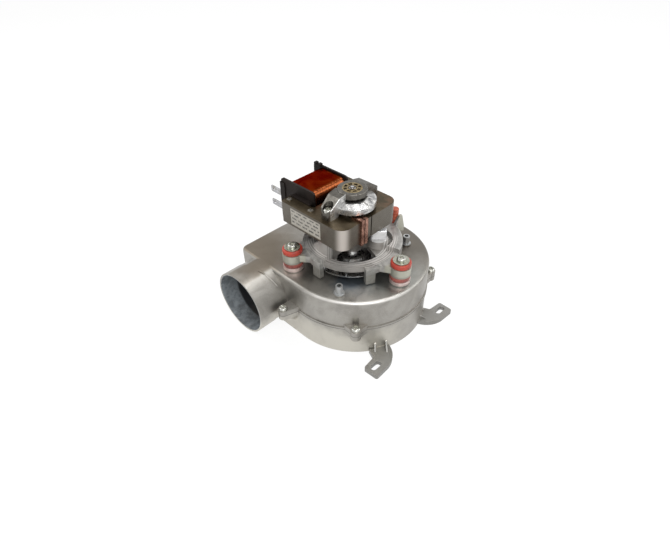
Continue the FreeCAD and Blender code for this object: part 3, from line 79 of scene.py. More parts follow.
def makeCamera():
    turn = math.radians(camera["azimuth"])
    tilt = math.radians(camera["elevation"])
    roll = math.radians(camera["roll"])
    back = Vector((math.cos(turn) * math.cos(tilt), math.sin(turn) * math.cos(tilt), math.sin(tilt)))
    level = Vector((-math.sin(turn), math.cos(turn), 0.0))
    upright = level.cross(-back)
    right = level * math.cos(roll) + upright * math.sin(roll)
    up = upright * math.cos(roll) - level * math.sin(roll)
    data = bpy.data.cameras.new("photoCamera")
    data.sensor_width = camera["sensor"]
    data.lens = camera["lens"]
    data.shift_x = camera["shiftX"]
    data.shift_y = camera["shiftY"]
    data.clip_start, data.clip_end = camera["clip"]
    eye = bpy.data.objects.new("photoCamera", data)
    eye.matrix_world = Matrix((right, up, back)).transposed().to_4x4()
    eye.location = camera["spot"]
    bpy.context.collection.objects.link(eye)
    bpy.context.scene.camera = eye


# node helpers

nodeGrid = {"perRow": 12, "stepX": 220, "stepY": 260}


def addNode(tree, kind, **values):
    # nodes are set out in rows, in the order they are made
    row, column = divmod(len(tree.nodes), nodeGrid["perRow"])
    node = tree.nodes.new(kind)
    node.location = (column * nodeGrid["stepX"], -row * nodeGrid["stepY"])
    for name, value in values.items():
        setattr(node, name, value)
    return node


def setInputs(node, **values):
    for name, value in values.items():
        node.inputs[name.replace("_", " ")].default_value = value
    return node


def noise(tree, coords, scale, detail=3.0, roughness=0.55, distortion=0.0):
    node = addNode(tree, "ShaderNodeTexNoise")
    setInputs(node, Scale=scale, Detail=detail, Roughness=roughness, Distortion=distortion)
    tree.links.new(coords, node.inputs["Vector"])
    return node.outputs["Fac"]


def mathNode(tree, operation, first, second=None):
    node = addNode(tree, "ShaderNodeMath", operation=operation)
    for socket, value in zip(node.inputs, (first, second)):
        if isinstance(value, bpy.types.NodeSocket):
            tree.links.new(value, socket)
        elif value is not None:
            socket.default_value = value
    return node.outputs[0]


def times(tree, first, second):
    return mathNode(tree, "MULTIPLY", first, second)


def plus(tree, first, second):
    return mathNode(tree, "ADD", first, second)


def minus(tree, first, second):
    return mathNode(tree, "SUBTRACT", first, second)


def larger(tree, first, second):
    return mathNode(tree, "MAXIMUM", first, second)


def ramp(tree, value, band):
    # smooth step from 0 at the band's first number to 1 at its second
    node = addNode(tree, "ShaderNodeMapRange", interpolation_type="SMOOTHSTEP")
    setInputs(node, From_Min=band[0], From_Max=band[1])
    tree.links.new(value, node.inputs["Value"])
    return node.outputs["Result"]


def between(tree, value, rise, fall):
    # 1 past the rising band and short of the falling one
    return times(tree, ramp(tree, value, rise), ramp(tree, value, fall))


def lengthOf(tree, first, second):
    return mathNode(tree, "SQRT", plus(tree, times(tree, first, first), times(tree, second, second)))


def awayFrom(tree, first, second, spot):
    # distance from a spot in the plane of the two coordinates
    return lengthOf(tree, minus(tree, first, spot[0]), minus(tree, second, spot[1]))


def splitAxes(tree, vector):
    node = addNode(tree, "ShaderNodeSeparateXYZ")
    tree.links.new(vector, node.inputs["Vector"])
    return node.outputs["X"], node.outputs["Y"], node.outputs["Z"]


def mixColour(tree, share, first, second):
    node = addNode(tree, "ShaderNodeMix", data_type="RGBA")
    for socket, value in zip((node.inputs[0], node.inputs[6], node.inputs[7]), (share, first, second)):
        if isinstance(value, bpy.types.NodeSocket):
            tree.links.new(value, socket)
        elif isinstance(value, tuple):
            socket.default_value = (*value, 1.0)
        else:
            socket.default_value = value
    return node.outputs[2]


# patterns shared by several finishes

castPattern = {
    "grain": {"Detail": 4.0, "Roughness": 0.6},
    "flow": {"Detail": 5.0, "Roughness": 0.6, "Distortion": 1.4},
    "stains": (16.0, 6.0, 0.7),
    "grainShare": 0.3,
    "flowShare": 0.7,
    "pitsPerGrain": 0.35,
    "pitEdge": (0.16, 0.05),
    "toneBand": (0.35, 0.65),
    "stainBand": (0.45, 0.75),
    "metal": 0.9,
    "stainAmount": 0.55,
    "relief": 0.0006,
}

sheetPattern = {
    "stretch": (1.0, 0.08, 1.0),
    "streaks": {"Detail": 3.0, "Roughness": 0.6},
    "blotches": {"Detail": 4.0, "Roughness": 0.65},
    "toneBand": (0.3, 0.7),
    "blotchBand": (0.4, 0.7),
    "metal": 1.0,
    "bump": 0.08,
    "relief": 0.0002,
}


def newGroup(name, numbers, results):
    # a group with a vector input, the named numbers and the named results
    group = bpy.data.node_groups.new(name, "ShaderNodeTree")
    group.interface.new_socket(name="Coords", in_out="INPUT", socket_type="NodeSocketVector")
    for title, value in numbers.items():
        socket = group.interface.new_socket(name=title, in_out="INPUT", socket_type="NodeSocketFloat")
        socket.default_value = value
    for title in results:
        group.interface.new_socket(name=title, in_out="OUTPUT", socket_type="NodeSocketFloat")
    return group, addNode(group, "NodeGroupInput").outputs, addNode(group, "NodeGroupOutput").inputs


def groupNoise(group, coords, scale, values):
    node = setInputs(addNode(group, "ShaderNodeTexNoise"), **values)
    group.links.new(coords, node.inputs["Vector"])
    group.links.new(scale, node.inputs["Scale"])
    return node.outputs["Fac"]


def makeCastGroup():
    # cast metal: fine grain, soft flow marks from the mould and a few pits
    group, start, end = newGroup("castMetal", {"Grain Scale": 1500.0, "Flow Scale": 45.0, "Pit Amount": 0.3},
                                 ("Tone", "Stain", "Height"))
    grain = groupNoise(group, start["Coords"], start["Grain Scale"], castPattern["grain"])
    flow = groupNoise(group, start["Coords"], start["Flow Scale"], castPattern["flow"])
    stains = noise(group, start["Coords"], *castPattern["stains"])
    pits = addNode(group, "ShaderNodeTexVoronoi")
    group.links.new(start["Coords"], pits.inputs["Vector"])
    group.links.new(times(group, start["Grain Scale"], castPattern["pitsPerGrain"]), pits.inputs["Scale"])
    pitMask = ramp(group, pits.outputs["Distance"], castPattern["pitEdge"])
    tone = plus(group, times(group, flow, castPattern["flowShare"]),
                times(group, grain, castPattern["grainShare"]))
    height = minus(group, tone, times(group, pitMask, start["Pit Amount"]))
    group.links.new(ramp(group, tone, castPattern["toneBand"]), end["Tone"])
    group.links.new(ramp(group, stains, castPattern["stainBand"]), end["Stain"])
    group.links.new(height, end["Height"])
    return group


def makeSheetGroup():
    # rolled or plated steel: fine streaks one way, with faint blotches
    group, start, end = newGroup("sheetMetal", {"Streak Scale": 600.0, "Blotch Scale": 120.0},
                                 ("Tone", "Blotch", "Height"))
    stretch = setInputs(addNode(group, "ShaderNodeMapping"), Scale=sheetPattern["stretch"])
    group.links.new(start["Coords"], stretch.inputs["Vector"])
    streaks = groupNoise(group, stretch.outputs["Vector"], start["Streak Scale"], sheetPattern["streaks"])
    blotches = groupNoise(group, start["Coords"], start["Blotch Scale"], sheetPattern["blotches"])
    group.links.new(ramp(group, streaks, sheetPattern["toneBand"]), end["Tone"])
    group.links.new(ramp(group, blotches, sheetPattern["blotchBand"]), end["Blotch"])
    group.links.new(streaks, end["Height"])
    return group


castGroup = makeCastGroup()
sheetGroup = makeSheetGroup()
print("shared node groups made")


def startMaterial(name, metallic, roughness):
    material = bpy.data.materials.new(name)
    material.use_nodes = True
    tree = material.node_tree
    shader = setInputs(tree.nodes["Principled BSDF"], Metallic=metallic, Roughness=roughness)
    coords = addNode(tree, "ShaderNodeTexCoord").outputs["Object"]
    return material, tree, shader, coords


def addCast(tree, coords, values):
    node = addNode(tree, "ShaderNodeGroup", node_tree=castGroup)
    setInputs(node, Grain_Scale=values["grainScale"], Flow_Scale=values["flowScale"],
              Pit_Amount=values["pits"])
    tree.links.new(coords, node.inputs["Coords"])
    return node.outputs["Tone"], node.outputs["Stain"], node.outputs["Height"]


def addSheet(tree, coords, values):
    node = addNode(tree, "ShaderNodeGroup", node_tree=sheetGroup)
    setInputs(node, Streak_Scale=values["streakScale"], Blotch_Scale=values["blotchScale"])
    tree.links.new(coords, node.inputs["Coords"])
    return node.outputs["Tone"], node.outputs["Blotch"], node.outputs["Height"]


def setColour(tree, shader, share, first, second):
    tree.links.new(mixColour(tree, share, first, second), shader.inputs["Base Color"])


def roughnessFrom(tree, shader, factor, low, high):
    node = setInputs(addNode(tree, "ShaderNodeMapRange"), To_Min=low, To_Max=high)
    tree.links.new(factor, node.inputs["Value"])
    tree.links.new(node.outputs["Result"], shader.inputs["Roughness"])


def addBump(tree, shader, height, strength, relief):
    bump = setInputs(addNode(tree, "ShaderNodeBump"), Strength=strength, Distance=relief)
    tree.links.new(height, bump.inputs["Height"])
    tree.links.new(bump.outputs["Normal"], shader.inputs["Normal"])


# the casing's finish, with painted reflections on the flat top, painted light on the lower shell, painted
# highlights on the rim and the grommet bases, and painted shade deep in the duct

casing = {
    "metal": 0.88,
    "dark": (0.285, 0.272, 0.250),
    "light": (0.400, 0.385, 0.355),
    "stain": (0.200, 0.175, 0.145),
    "stainAmount": 0.45,
    "roughness": (0.34, 0.50),
    "grainScale": 1500.0,
    "flowScale": 42.0,
    "pits": 0.25,
    "bump": 0.16,
    "wander": (55.0, 4.0, 0.6),
    "wanderReach": 0.030,
    # painted reflections of the surroundings on the flat top, as coloured patches
    "paintedReflections": {
        "brownCorner": {
            "spot": (-0.058, 0.066), "reach": 0.062, "colour": (0.150, 0.120, 0.085), "amount": 0.85,
        },
        "greyLeft": {
            "spot": (-0.052, -0.006), "reach": 0.030, "colour": (0.165, 0.158, 0.140), "amount": 0.75,
        },
        "roseBand": {
            "spot": (-0.048, 0.028), "reach": 0.017, "colour": (0.270, 0.200, 0.175), "amount": 0.45,
        },
        "blueFront": {
            "spot": (-0.024, -0.024), "reach": 0.026, "colour": (0.120, 0.165, 0.215), "amount": 0.75,
        },
        "greenFront": {
            "spot": (0.004, -0.050), "reach": 0.040, "colour": (0.235, 0.250, 0.235), "amount": 0.60,
        },
        "brownRight": {
            "spot": (0.056, -0.022), "reach": 0.062, "colour": (0.140, 0.127, 0.108), "amount": 0.95,
        },
    },
    "tintCore": 0.25,
    "topBand": (0.0574, 0.0586),
    "raisedBand": (0.0594, 0.0608),
    "posts": {
        # painted highlight on the raised rings under the grommets
        "grommetBaseHighlights": {
            "spots": ((-0.0478, 0.0254), (0.0019, -0.0541), (0.0459, 0.0287)),
            "edge": (0.0106, 0.0096),
            "colour": (0.80, 0.66, 0.63),
        },
        "spareTops": {
            "spots": ((-0.0459, -0.0287), (0.0478, -0.0254), (-0.0019, 0.0541)),
            "edge": (0.0062, 0.0052),
            "colour": (0.430, 0.440, 0.440),
        },
    },
}

# painted light: the lower shell is painted a lighter cream towards the left and the bottom
lowerShell = {
    "colour": (0.60, 0.575, 0.51),
    "edge": (0.0302, 0.0294),
    "edgeDrift": 0.02,
    "leftward": (0.018, -0.050),
    "downward": (0.036, 0.012),
    "amount": 0.85,
}

# painted highlight along the casing's rounded rim at the front
scrollRim = {
    "colour": (0.72, 0.70, 0.67),
    "centre": (0.0045, -0.0008),
    "radiusRise": (0.0653, 0.0661),
    "radiusFall": (0.0675, 0.0669),
    "heightRise": (0.0560, 0.0572),
    "heightFall": (0.05896, 0.0588),
    "front": (-0.717, -0.697),
    "frontBand": (0.043, 0.057),
    "amount": 0.75,
}

frontFoot = {
    "colour": (0.255, 0.250, 0.235),
    "outside": (0.0677, 0.0685),
    "forward": (-0.036, -0.040),
    "downward": (0.0150, 0.0125),
}

outletDuct = {
    "colour": (0.350, 0.385, 0.410),
    # painted shade deep in the duct
    "ductShade": (0.018, 0.018, 0.020),
    "metal": 0.30,
    "axis": (0.0497, 0.0302),
    "wall": (0.0286, 0.0283),
    "mouth": (-0.050, -0.062),
    "ductShadeBand": (-0.0780, -0.0750),
    "ductShadeDrift": 0.12,
    "ductShadeAmount": 0.96,
    "flecks": (170.0, 6.0, 0.7, 0.4),
    "fleckBand": (0.64, 0.36),
    "fleckAmount": 0.50,
}


def paintReflectionsOnTop(tree, x, y, z, drift, colour):
    # painted reflections on the flat top, as patches of brown, grey, rose, blue and green
    onTop = ramp(tree, z, casing["topBand"])
    for reflection in casing["paintedReflections"].values():
        away = plus(tree, awayFrom(tree, x, y, reflection["spot"]), drift)
        near = ramp(tree, away, (reflection["reach"], reflection["reach"] * casing["tintCore"]))
        amount = times(tree, times(tree, near, onTop), reflection["amount"])
        colour = mixColour(tree, amount, colour, reflection["colour"])
    return colour


def tintPosts(tree, x, y, z, colour):
    # painted highlight on the raised rings under the grommets, and the tops of the spare posts
    raised = ramp(tree, z, casing["raisedBand"])
    for post in casing["posts"].values():
        onSpots = 0.0
        for spot in post["spots"]:
            onSpots = plus(tree, ramp(tree, awayFrom(tree, x, y, spot), post["edge"]), onSpots)
        colour = mixColour(tree, times(tree, onSpots, raised), colour, post["colour"])
    return colour


# painted light on the lower shell, lighter towards the left and the bottom
def paintLightOnLowerShell(tree, x, z, drift, colour):
    lower = ramp(tree, plus(tree, z, times(tree, drift, lowerShell["edgeDrift"])), lowerShell["edge"])
    leftward = ramp(tree, plus(tree, x, drift), lowerShell["leftward"])
    downward = ramp(tree, plus(tree, z, drift), lowerShell["downward"])
    share = times(tree, leftward, times(tree, downward, lowerShell["amount"]))
    return mixColour(tree, times(tree, lower, share), colour, lowerShell["colour"])


def tintRimAndFeet(tree, x, y, z, colour):
    # painted highlight along the scroll's rounded rim at the front, and the feet outside it are darker
    fromScroll = awayFrom(tree, x, y, scrollRim["centre"])
    onRim = between(tree, fromScroll, scrollRim["radiusRise"], scrollRim["radiusFall"])
    rounded = between(tree, z, scrollRim["heightRise"], scrollRim["heightFall"])
    facing = plus(tree, times(tree, x, scrollRim["front"][0]), times(tree, y, scrollRim["front"][1]))
    paintedSheen = times(tree, ramp(tree, facing, scrollRim["frontBand"]), scrollRim["amount"])
    rimShare = times(tree, times(tree, rounded, onRim), paintedSheen)
    colour = mixColour(tree, rimShare, colour, scrollRim["colour"])
    outside = ramp(tree, fromScroll, frontFoot["outside"])
    forward = ramp(tree, y, frontFoot["forward"])
    footShare = times(tree, times(tree, outside, forward), ramp(tree, z, frontFoot["downward"]))
    return mixColour(tree, footShare, colour, frontFoot["colour"])


def tintDuct(tree, x, y, z, drift, coords, colour):
    # blue-grey wall with dark flecks, and painted shade, near black, at its deep end
    fromAxis = awayFrom(tree, y, z, outletDuct["axis"])
    inDuct = times(tree, ramp(tree, fromAxis, outletDuct["wall"]), ramp(tree, x, outletDuct["mouth"]))
    inward = plus(tree, x, times(tree, drift, outletDuct["ductShadeDrift"]))
    ductShade = times(tree, ramp(tree, inward, outletDuct["ductShadeBand"]), outletDuct["ductShadeAmount"])
    flecks = noise(tree, coords, *outletDuct["flecks"])
    mottled = times(tree, ramp(tree, flecks, outletDuct["fleckBand"]), outletDuct["fleckAmount"])
    wall = mixColour(tree, larger(tree, ductShade, mottled), outletDuct["colour"], outletDuct["ductShade"])
    return inDuct, mixColour(tree, inDuct, colour, wall)


def makeCasing(name):
    material, tree, shader, coords = startMaterial(name, casing["metal"], casing["roughness"][0])
    tone, stain, height = addCast(tree, coords, casing)
    wander = noise(tree, coords, *casing["wander"])
    drift = times(tree, minus(tree, wander, 0.5), casing["wanderReach"])
    x, y, z = splitAxes(tree, coords)
    colour = mixColour(tree, tone, casing["dark"], casing["light"])
    colour = paintReflectionsOnTop(tree, x, y, z, drift, colour)
    colour = paintLightOnLowerShell(tree, x, z, drift, colour)
    colour = tintPosts(tree, x, y, z, colour)
    colour = tintRimAndFeet(tree, x, y, z, colour)
    inDuct, colour = tintDuct(tree, x, y, z, drift, coords, colour)
    metal = setInputs(addNode(tree, "ShaderNodeMapRange"), To_Min=casing["metal"], To_Max=outletDuct["metal"])
    tree.links.new(inDuct, metal.inputs["Value"])
    tree.links.new(metal.outputs["Result"], shader.inputs["Metallic"])
    setColour(tree, shader, times(tree, stain, casing["stainAmount"]), colour, casing["stain"])
    roughnessFrom(tree, shader, tone, *casing["roughness"])
    addBump(tree, shader, height, casing["bump"], castPattern["relief"])
    return material


# the motor bracket: darker arms, painted shade on the web under the motor, greenish eyes round the grommets,
# painted light and painted shade in bands on the front of the ring, a bright boss

bracket = {
    "metal": 0.55,
    "dark": (0.262, 0.257, 0.243),
    "light": (0.450, 0.440, 0.417),
    "stain": (0.190, 0.172, 0.150),
    "stainAmount": 0.45,
    "roughness": (0.32, 0.48),
    "grainScale": 1250.0,
    "flowScale": 120.0,
    "pits": 0.35,
    "bump": 0.32,
    "eyeTint": (0.440, 0.435, 0.355),
    "eyeBand": (0.0455, 0.0475),
    "eyeAmount": 0.75,
    "ringLight": (0.620, 0.597, 0.570),
    "ringGrooveShade": (0.285, 0.270, 0.252),
    "ringPitch": 0.0021,
    "grooveBand": (-0.9, 0.1),
    "ringInner": (0.0296, 0.0304),
    "ringOuter": (0.0406, 0.0400),
    "ringUpward": (0.0700, 0.0720),
    "ringForward": (0.012, -0.012),
    "ringAmount": 0.85,
    # painted shade on the web under the motor
    "webShade": (0.165, 0.148, 0.130),
    "webBand": (0.0300, 0.0290),
    "webAmount": 0.7,
    "stubTint": (0.225, 0.220, 0.190),
    "stubBand": (0.0705, 0.0690),
    "stubAmount": 0.6,
    "bossTint": (0.830, 0.840, 0.850),
    "bossSpot": (0.0146, -0.0185),
    "bossEdge": (0.0104, 0.0098),
    "bossTop": (0.0802, 0.0808),
}


def makeBracket(name):
    material, tree, shader, coords = startMaterial(name, bracket["metal"], bracket["roughness"][0])
    tone, stain, height = addCast(tree, coords, bracket)
    x, y, z = splitAxes(tree, coords)
    colour = mixColour(tree, tone, bracket["dark"], bracket["light"])
    fromShaft = lengthOf(tree, x, y)
    onEye = ramp(tree, fromShaft, bracket["eyeBand"])
    colour = mixColour(tree, times(tree, onEye, bracket["eyeAmount"]), colour, bracket["eyeTint"])
    # painted light on the front of the ring: bright bands, with painted shade in the grooves between
    ridges = mathNode(tree, "SINE", times(tree, fromShaft, 2 * math.pi / bracket["ringPitch"]))
    ridgeTone = ramp(tree, ridges, bracket["grooveBand"])
    paintedRingBands = mixColour(tree, ridgeTone, bracket["ringGrooveShade"], bracket["ringLight"])
    onRing = between(tree, fromShaft, bracket["ringInner"], bracket["ringOuter"])
    ringShare = times(tree, onRing, ramp(tree, z, bracket["ringUpward"]))
    forward = times(tree, ramp(tree, plus(tree, x, y), bracket["ringForward"]), bracket["ringAmount"])
    colour = mixColour(tree, times(tree, ringShare, forward), colour, paintedRingBands)
    # painted shade on the web under the motor
    onWeb = ramp(tree, fromShaft, bracket["webBand"])
    colour = mixColour(tree, times(tree, onWeb, bracket["webAmount"]), colour, bracket["webShade"])
    onStub = ramp(tree, z, bracket["stubBand"])
    colour = mixColour(tree, times(tree, onStub, bracket["stubAmount"]), colour, bracket["stubTint"])
    fromBoss = awayFrom(tree, x, y, bracket["bossSpot"])
    onBoss = times(tree, ramp(tree, fromBoss, bracket["bossEdge"]), ramp(tree, z, bracket["bossTop"]))
    colour = mixColour(tree, onBoss, colour, bracket["bossTint"])
    setColour(tree, shader, times(tree, stain, bracket["stainAmount"]), colour, bracket["stain"])
    roughnessFrom(tree, shader, tone, *bracket["roughness"])
    addBump(tree, shader, height, bracket["bump"], castPattern["relief"])
    return material


# the bearing bridge: grey arms and boss over a brighter, mottled skirt, with a painted highlight along the
# left arm's front edge

bridge = {
    "metal": 0.9,
    "roughness": (0.22, 0.40),
    "grainScale": 1100.0,
    "flowScale": 170.0,
    "pits": 0.3,
    "bump": 0.22,
    "skirtDark": (0.22, 0.22, 0.225),
    "skirtLight": (0.70, 0.69, 0.67),
    "mottle": (210.0, 4.0, 0.62, 0.5),
    "mottleBand": (0.30, 0.66),
    "armDark": (0.090, 0.084, 0.073),
    "armLight": (0.150, 0.141, 0.126),
    "armFront": (-0.0039, -0.0036),
    "armBack": (0.0109, 0.0105),
    "armStart": (0.0120, 0.0130),
    "bossEdge": (0.0134, 0.0130),
    "bossUpward": (0.1215, 0.1220),
    "edgeHighlight": (0.72, 0.72, 0.71),
    "edgeHighlightBand": (-0.0027, -0.0033),
    "edgeHighlightLeft": (0.002, -0.004),
}


def makeBridge(name):
    material, tree, shader, coords = startMaterial(name, bridge["metal"], bridge["roughness"][0])
    tone, _, height = addCast(tree, coords, bridge)
    x, y, z = splitAxes(tree, coords)
    mottle = ramp(tree, noise(tree, coords, *bridge["mottle"]), bridge["mottleBand"])
    skirt = mixColour(tree, mottle, bridge["skirtDark"], bridge["skirtLight"])
    arm = mixColour(tree, tone, bridge["armDark"], bridge["armLight"])
    fromShaft = lengthOf(tree, x, y)
    onBoss = times(tree, ramp(tree, fromShaft, bridge["bossEdge"]), ramp(tree, z, bridge["bossUpward"]))
    onArm = times(tree, between(tree, y, bridge["armFront"], bridge["armBack"]),
                  ramp(tree, fromShaft, bridge["armStart"]))
    colour = mixColour(tree, larger(tree, onBoss, onArm), skirt, arm)
    # painted highlight on the front edge of the left arm
    frontEdge = times(tree, onArm, ramp(tree, y, bridge["edgeHighlightBand"]))
    wearAndHighlight = times(tree, frontEdge, ramp(tree, x, bridge["edgeHighlightLeft"]))
    setColour(tree, shader, wearAndHighlight, colour, bridge["edgeHighlight"])
    roughnessFrom(tree, shader, mottle, *reversed(bridge["roughness"]))
    addBump(tree, shader, height, bridge["bump"], castPattern["relief"])
    return material


# finishes with their own patterns

lamination = {
    "metal": 0.85,
    "roughness": (0.24, 0.40),
    "pitch": 0.0005,
    "bands": {"Distortion": 0.6, "Detail": 1.0, "Detail_Scale": 3.0},
    "bandShare": 0.45,
    "cloud": (260.0, 4.0),
    "cloudShare": 0.5,
    "flatBand": (0.5, 0.9),
    "edge": (0.088, 0.078, 0.062),
    "edgeLight": (0.172, 0.156, 0.132),
    "face": (0.058, 0.043, 0.022),
    "faceLight": (0.120, 0.090, 0.054),
    "faceBand": (0.35, 0.7),
    # painted sheen: a bright vertical band down the front corner of the stack
    "noseSheen": (0.600, 0.550, 0.505),
    "noseAcross": -0.0086,
    "noseWidth": (0.0075, 0.00075),
    "noseForward": (-0.0100, -0.0122),
    "noseAmount": 0.8,
    "rust": (0.150, 0.078, 0.045),
    "rustCloud": (70.0, 5.0, 0.7),
    "rustRight": (0.0130, 0.0270),
    "rustBand": (0.42, 0.60),
    "rustAmount": 0.7,
    "bump": 0.25,
    "relief": 0.00012,
}


def addBands(tree, coords, direction, pitch, values):
    # the wave texture repeats every pi / 10 at scale 1
    node = addNode(tree, "ShaderNodeTexWave", wave_type="BANDS", bands_direction=direction)
    setInputs(node, Scale=math.pi / 10 / pitch, **values)
    tree.links.new(coords, node.inputs["Vector"])
    return node.outputs["Fac"]


def makeLaminated(name):
    material, tree, shader, coords = startMaterial(name, lamination["metal"], lamination["roughness"][0])
    bands = addBands(tree, coords, "Z", lamination["pitch"], lamination["bands"])
    cloud = noise(tree, coords, *lamination["cloud"])
    rustCloud = noise(tree, coords, *lamination["rustCloud"])
    normalZ = splitAxes(tree, addNode(tree, "ShaderNodeTexCoord").outputs["Normal"])[2]
    flat = ramp(tree, mathNode(tree, "ABSOLUTE", normalZ), lamination["flatBand"])
    edgeTone = plus(tree, times(tree, bands, lamination["bandShare"]),
                    times(tree, cloud, lamination["cloudShare"]))
    edge = mixColour(tree, edgeTone, lamination["edge"], lamination["edgeLight"])
    faceTone = ramp(tree, rustCloud, lamination["faceBand"])
    face = mixColour(tree, faceTone, lamination["face"], lamination["faceLight"])
    x, y, _ = splitAxes(tree, coords)
    # painted sheen down the front corner of the stack
    across = times(tree, minus(tree, x, y), math.sqrt(0.5))
    fromNose = mathNode(tree, "ABSOLUTE", minus(tree, across, lamination["noseAcross"]))
    paintedSheen = times(tree, ramp(tree, y, lamination["noseForward"]),
                   ramp(tree, fromNose, lamination["noseWidth"]))
    edge = mixColour(tree, times(tree, paintedSheen, lamination["noseAmount"]), edge, lamination["noseSheen"])
    rusty = times(tree, ramp(tree, x, lamination["rustRight"]),
                  ramp(tree, rustCloud, lamination["rustBand"]))
    face = mixColour(tree, times(tree, rusty, lamination["rustAmount"]), face, lamination["rust"])
    setColour(tree, shader, flat, edge, face)
    roughnessFrom(tree, shader, cloud, *lamination["roughness"])
    sideBands = times(tree, bands, minus(tree, 1.0, flat))
    addBump(tree, shader, sideBands, lamination["bump"], lamination["relief"])
    return material


winding = {
    "metal": 1.0,
    "roughness": (0.2, 0.36),
    "edgeTint": (0.60, 0.16, 0.06, 1.0),
    "wirePitch": 0.00042,
    "wires": {"Distortion": 0.8, "Detail": 1.0, "Detail_Scale": 1.5},
    "wireShare": 0.14,
    "patches": (60.0, 5.0, 0.65, 0.6),
    "patchBand": (0.35, 0.7),
    "patchShare": 0.86,
    "dark": (0.085, 0.0150, 0.0045),
    "light": (0.160, 0.036, 0.0110),
    # painted light: the near side of the winding is painted a brighter orange
    "near": (0.46, 0.150, 0.055),
    "nearBand": (0.0317, 0.0262),
    "nearAmount": 0.7,
    "bump": 0.10,
    "relief": 0.0001,
}


def makeWinding(name):
    # turns of enamelled wire run round the core, so the ridges repeat along X
    material, tree, shader, coords = startMaterial(name, winding["metal"], winding["roughness"][0])
    setInputs(shader, Specular_Tint=winding["edgeTint"])
    wires = addBands(tree, coords, "X", winding["wirePitch"], winding["wires"])
    patches = noise(tree, coords, *winding["patches"])
    tone = plus(tree, times(tree, wires, winding["wireShare"]),
                times(tree, ramp(tree, patches, winding["patchBand"]), winding["patchShare"]))
    wound = mixColour(tree, tone, winding["dark"], winding["light"])
    _, y, _ = splitAxes(tree, coords)
    # painted light on the near side
    nearSideLight = times(tree, ramp(tree, y, winding["nearBand"]), times(tree, patches, winding["nearAmount"]))
    setColour(tree, shader, nearSideLight, wound, winding["near"])
    roughnessFrom(tree, shader, patches, *winding["roughness"])
    addBump(tree, shader, wires, winding["bump"], winding["relief"])
    return material


label = {
    "paper": (0.42, 0.395, 0.345),
    "paperWorn": 0.86,
    "paperBand": (0.3, 0.8),
    "ink": (0.045, 0.045, 0.043),
    "inkBand": (0.25, 0.6),
    "rowPitch": 0.0036,
    "rowGap": 0.55,
    "rowShift": 0.37,
    "barPitch": 0.0078,
    "barLength": 0.72,
    "margin": 0.0012,
    "heights": (0.0932, 0.1088),
    "widths": (0.0026, 0.0386),
    "wear": (420.0, 4.0, 0.7),
    "roughness": (0.35, 0.55),
    "bump": 0.04,
    "relief": 0.0002,
}


def makeLabel(name):
    # plain film with rows of blank printed bars inside a bare margin, and no words
    material, tree, shader, coords = startMaterial(name, 0.0, label["roughness"][0])
    _, y, z = splitAxes(tree, coords)
    rows = mathNode(tree, "DIVIDE", z, label["rowPitch"])
    onRow = mathNode(tree, "GREATER_THAN", mathNode(tree, "FRACT", rows), label["rowGap"])
    shift = times(tree, mathNode(tree, "FLOOR", rows), label["rowShift"])
    bars = plus(tree, mathNode(tree, "DIVIDE", y, label["barPitch"]), shift)
    onBar = mathNode(tree, "LESS_THAN", mathNode(tree, "FRACT", bars), label["barLength"])
    printed = times(tree, onRow, onBar)
    for along, (low, high) in ((z, label["heights"]), (y, label["widths"])):
        above = mathNode(tree, "GREATER_THAN", along, low + label["margin"])
        below = mathNode(tree, "LESS_THAN", along, high - label["margin"])
        printed = times(tree, printed, times(tree, above, below))
    wear = noise(tree, coords, *label["wear"])
    faded = times(tree, printed, ramp(tree, wear, label["inkBand"]))
    wearAndHighlight = tuple(value * label["paperWorn"] for value in label["paper"])
    paper = mixColour(tree, ramp(tree, wear, label["paperBand"]), label["paper"], wearAndHighlight)
    setColour(tree, shader, faded, paper, label["ink"])
    roughnessFrom(tree, shader, wear, *label["roughness"])
    addBump(tree, shader, wear, label["bump"], label["relief"])
    return material


silicone = {
    "upper": (0.430, 0.046, 0.025),
    "upperDark": (0.240, 0.022, 0.014),
    "lower": (0.360, 0.095, 0.075),
    "lowerDark": (0.200, 0.050, 0.040),
    "splitBand": (0.0712, 0.0732),
    "cloud": (120.0, 4.0, 0.6),
    "cloudBand": (0.3, 0.6),
    "fine": (1600.0, 4.0, 0.6),
    "roughness": (0.34, 0.52),
    "bump": 0.12,
    "relief": 0.0003,
}


def makeSilicone(name):
    # the upper flange keeps its colour; the lower one is a duller, pinker red
    material, tree, shader, coords = startMaterial(name, 0.0, silicone["roughness"][0])
    cloud = noise(tree, coords, *silicone["cloud"])
    _, _, z = splitAxes(tree, coords)
    tone = ramp(tree, cloud, silicone["cloudBand"])
    upper = mixColour(tree, tone, silicone["upperDark"], silicone["upper"])
    lower = mixColour(tree, tone, silicone["lowerDark"], silicone["lower"])
    setColour(tree, shader, ramp(tree, z, silicone["splitBand"]), lower, upper)
    roughnessFrom(tree, shader, cloud, *silicone["roughness"])
    addBump(tree, shader, noise(tree, coords, *silicone["fine"]), silicone["bump"], silicone["relief"])
    return material


groundShaft = {
    "streakScale": 1200.0,
    "blotchScale": 300.0,
    "steel": (0.42, 0.42, 0.43),
    "steelLight": (0.62, 0.62, 0.63),
    "shaftShade": (0.060, 0.045, 0.030),
    "shaftShadeAmount": 0.92,
    "shaftShadeStart": (0.0012, 0.0016),
    "endBand": (0.1295, 0.1297),
    "lowBand": (0.1100, 0.1080),
    "roughness": (0.14, 0.26),
    "bump": 0.08,
}


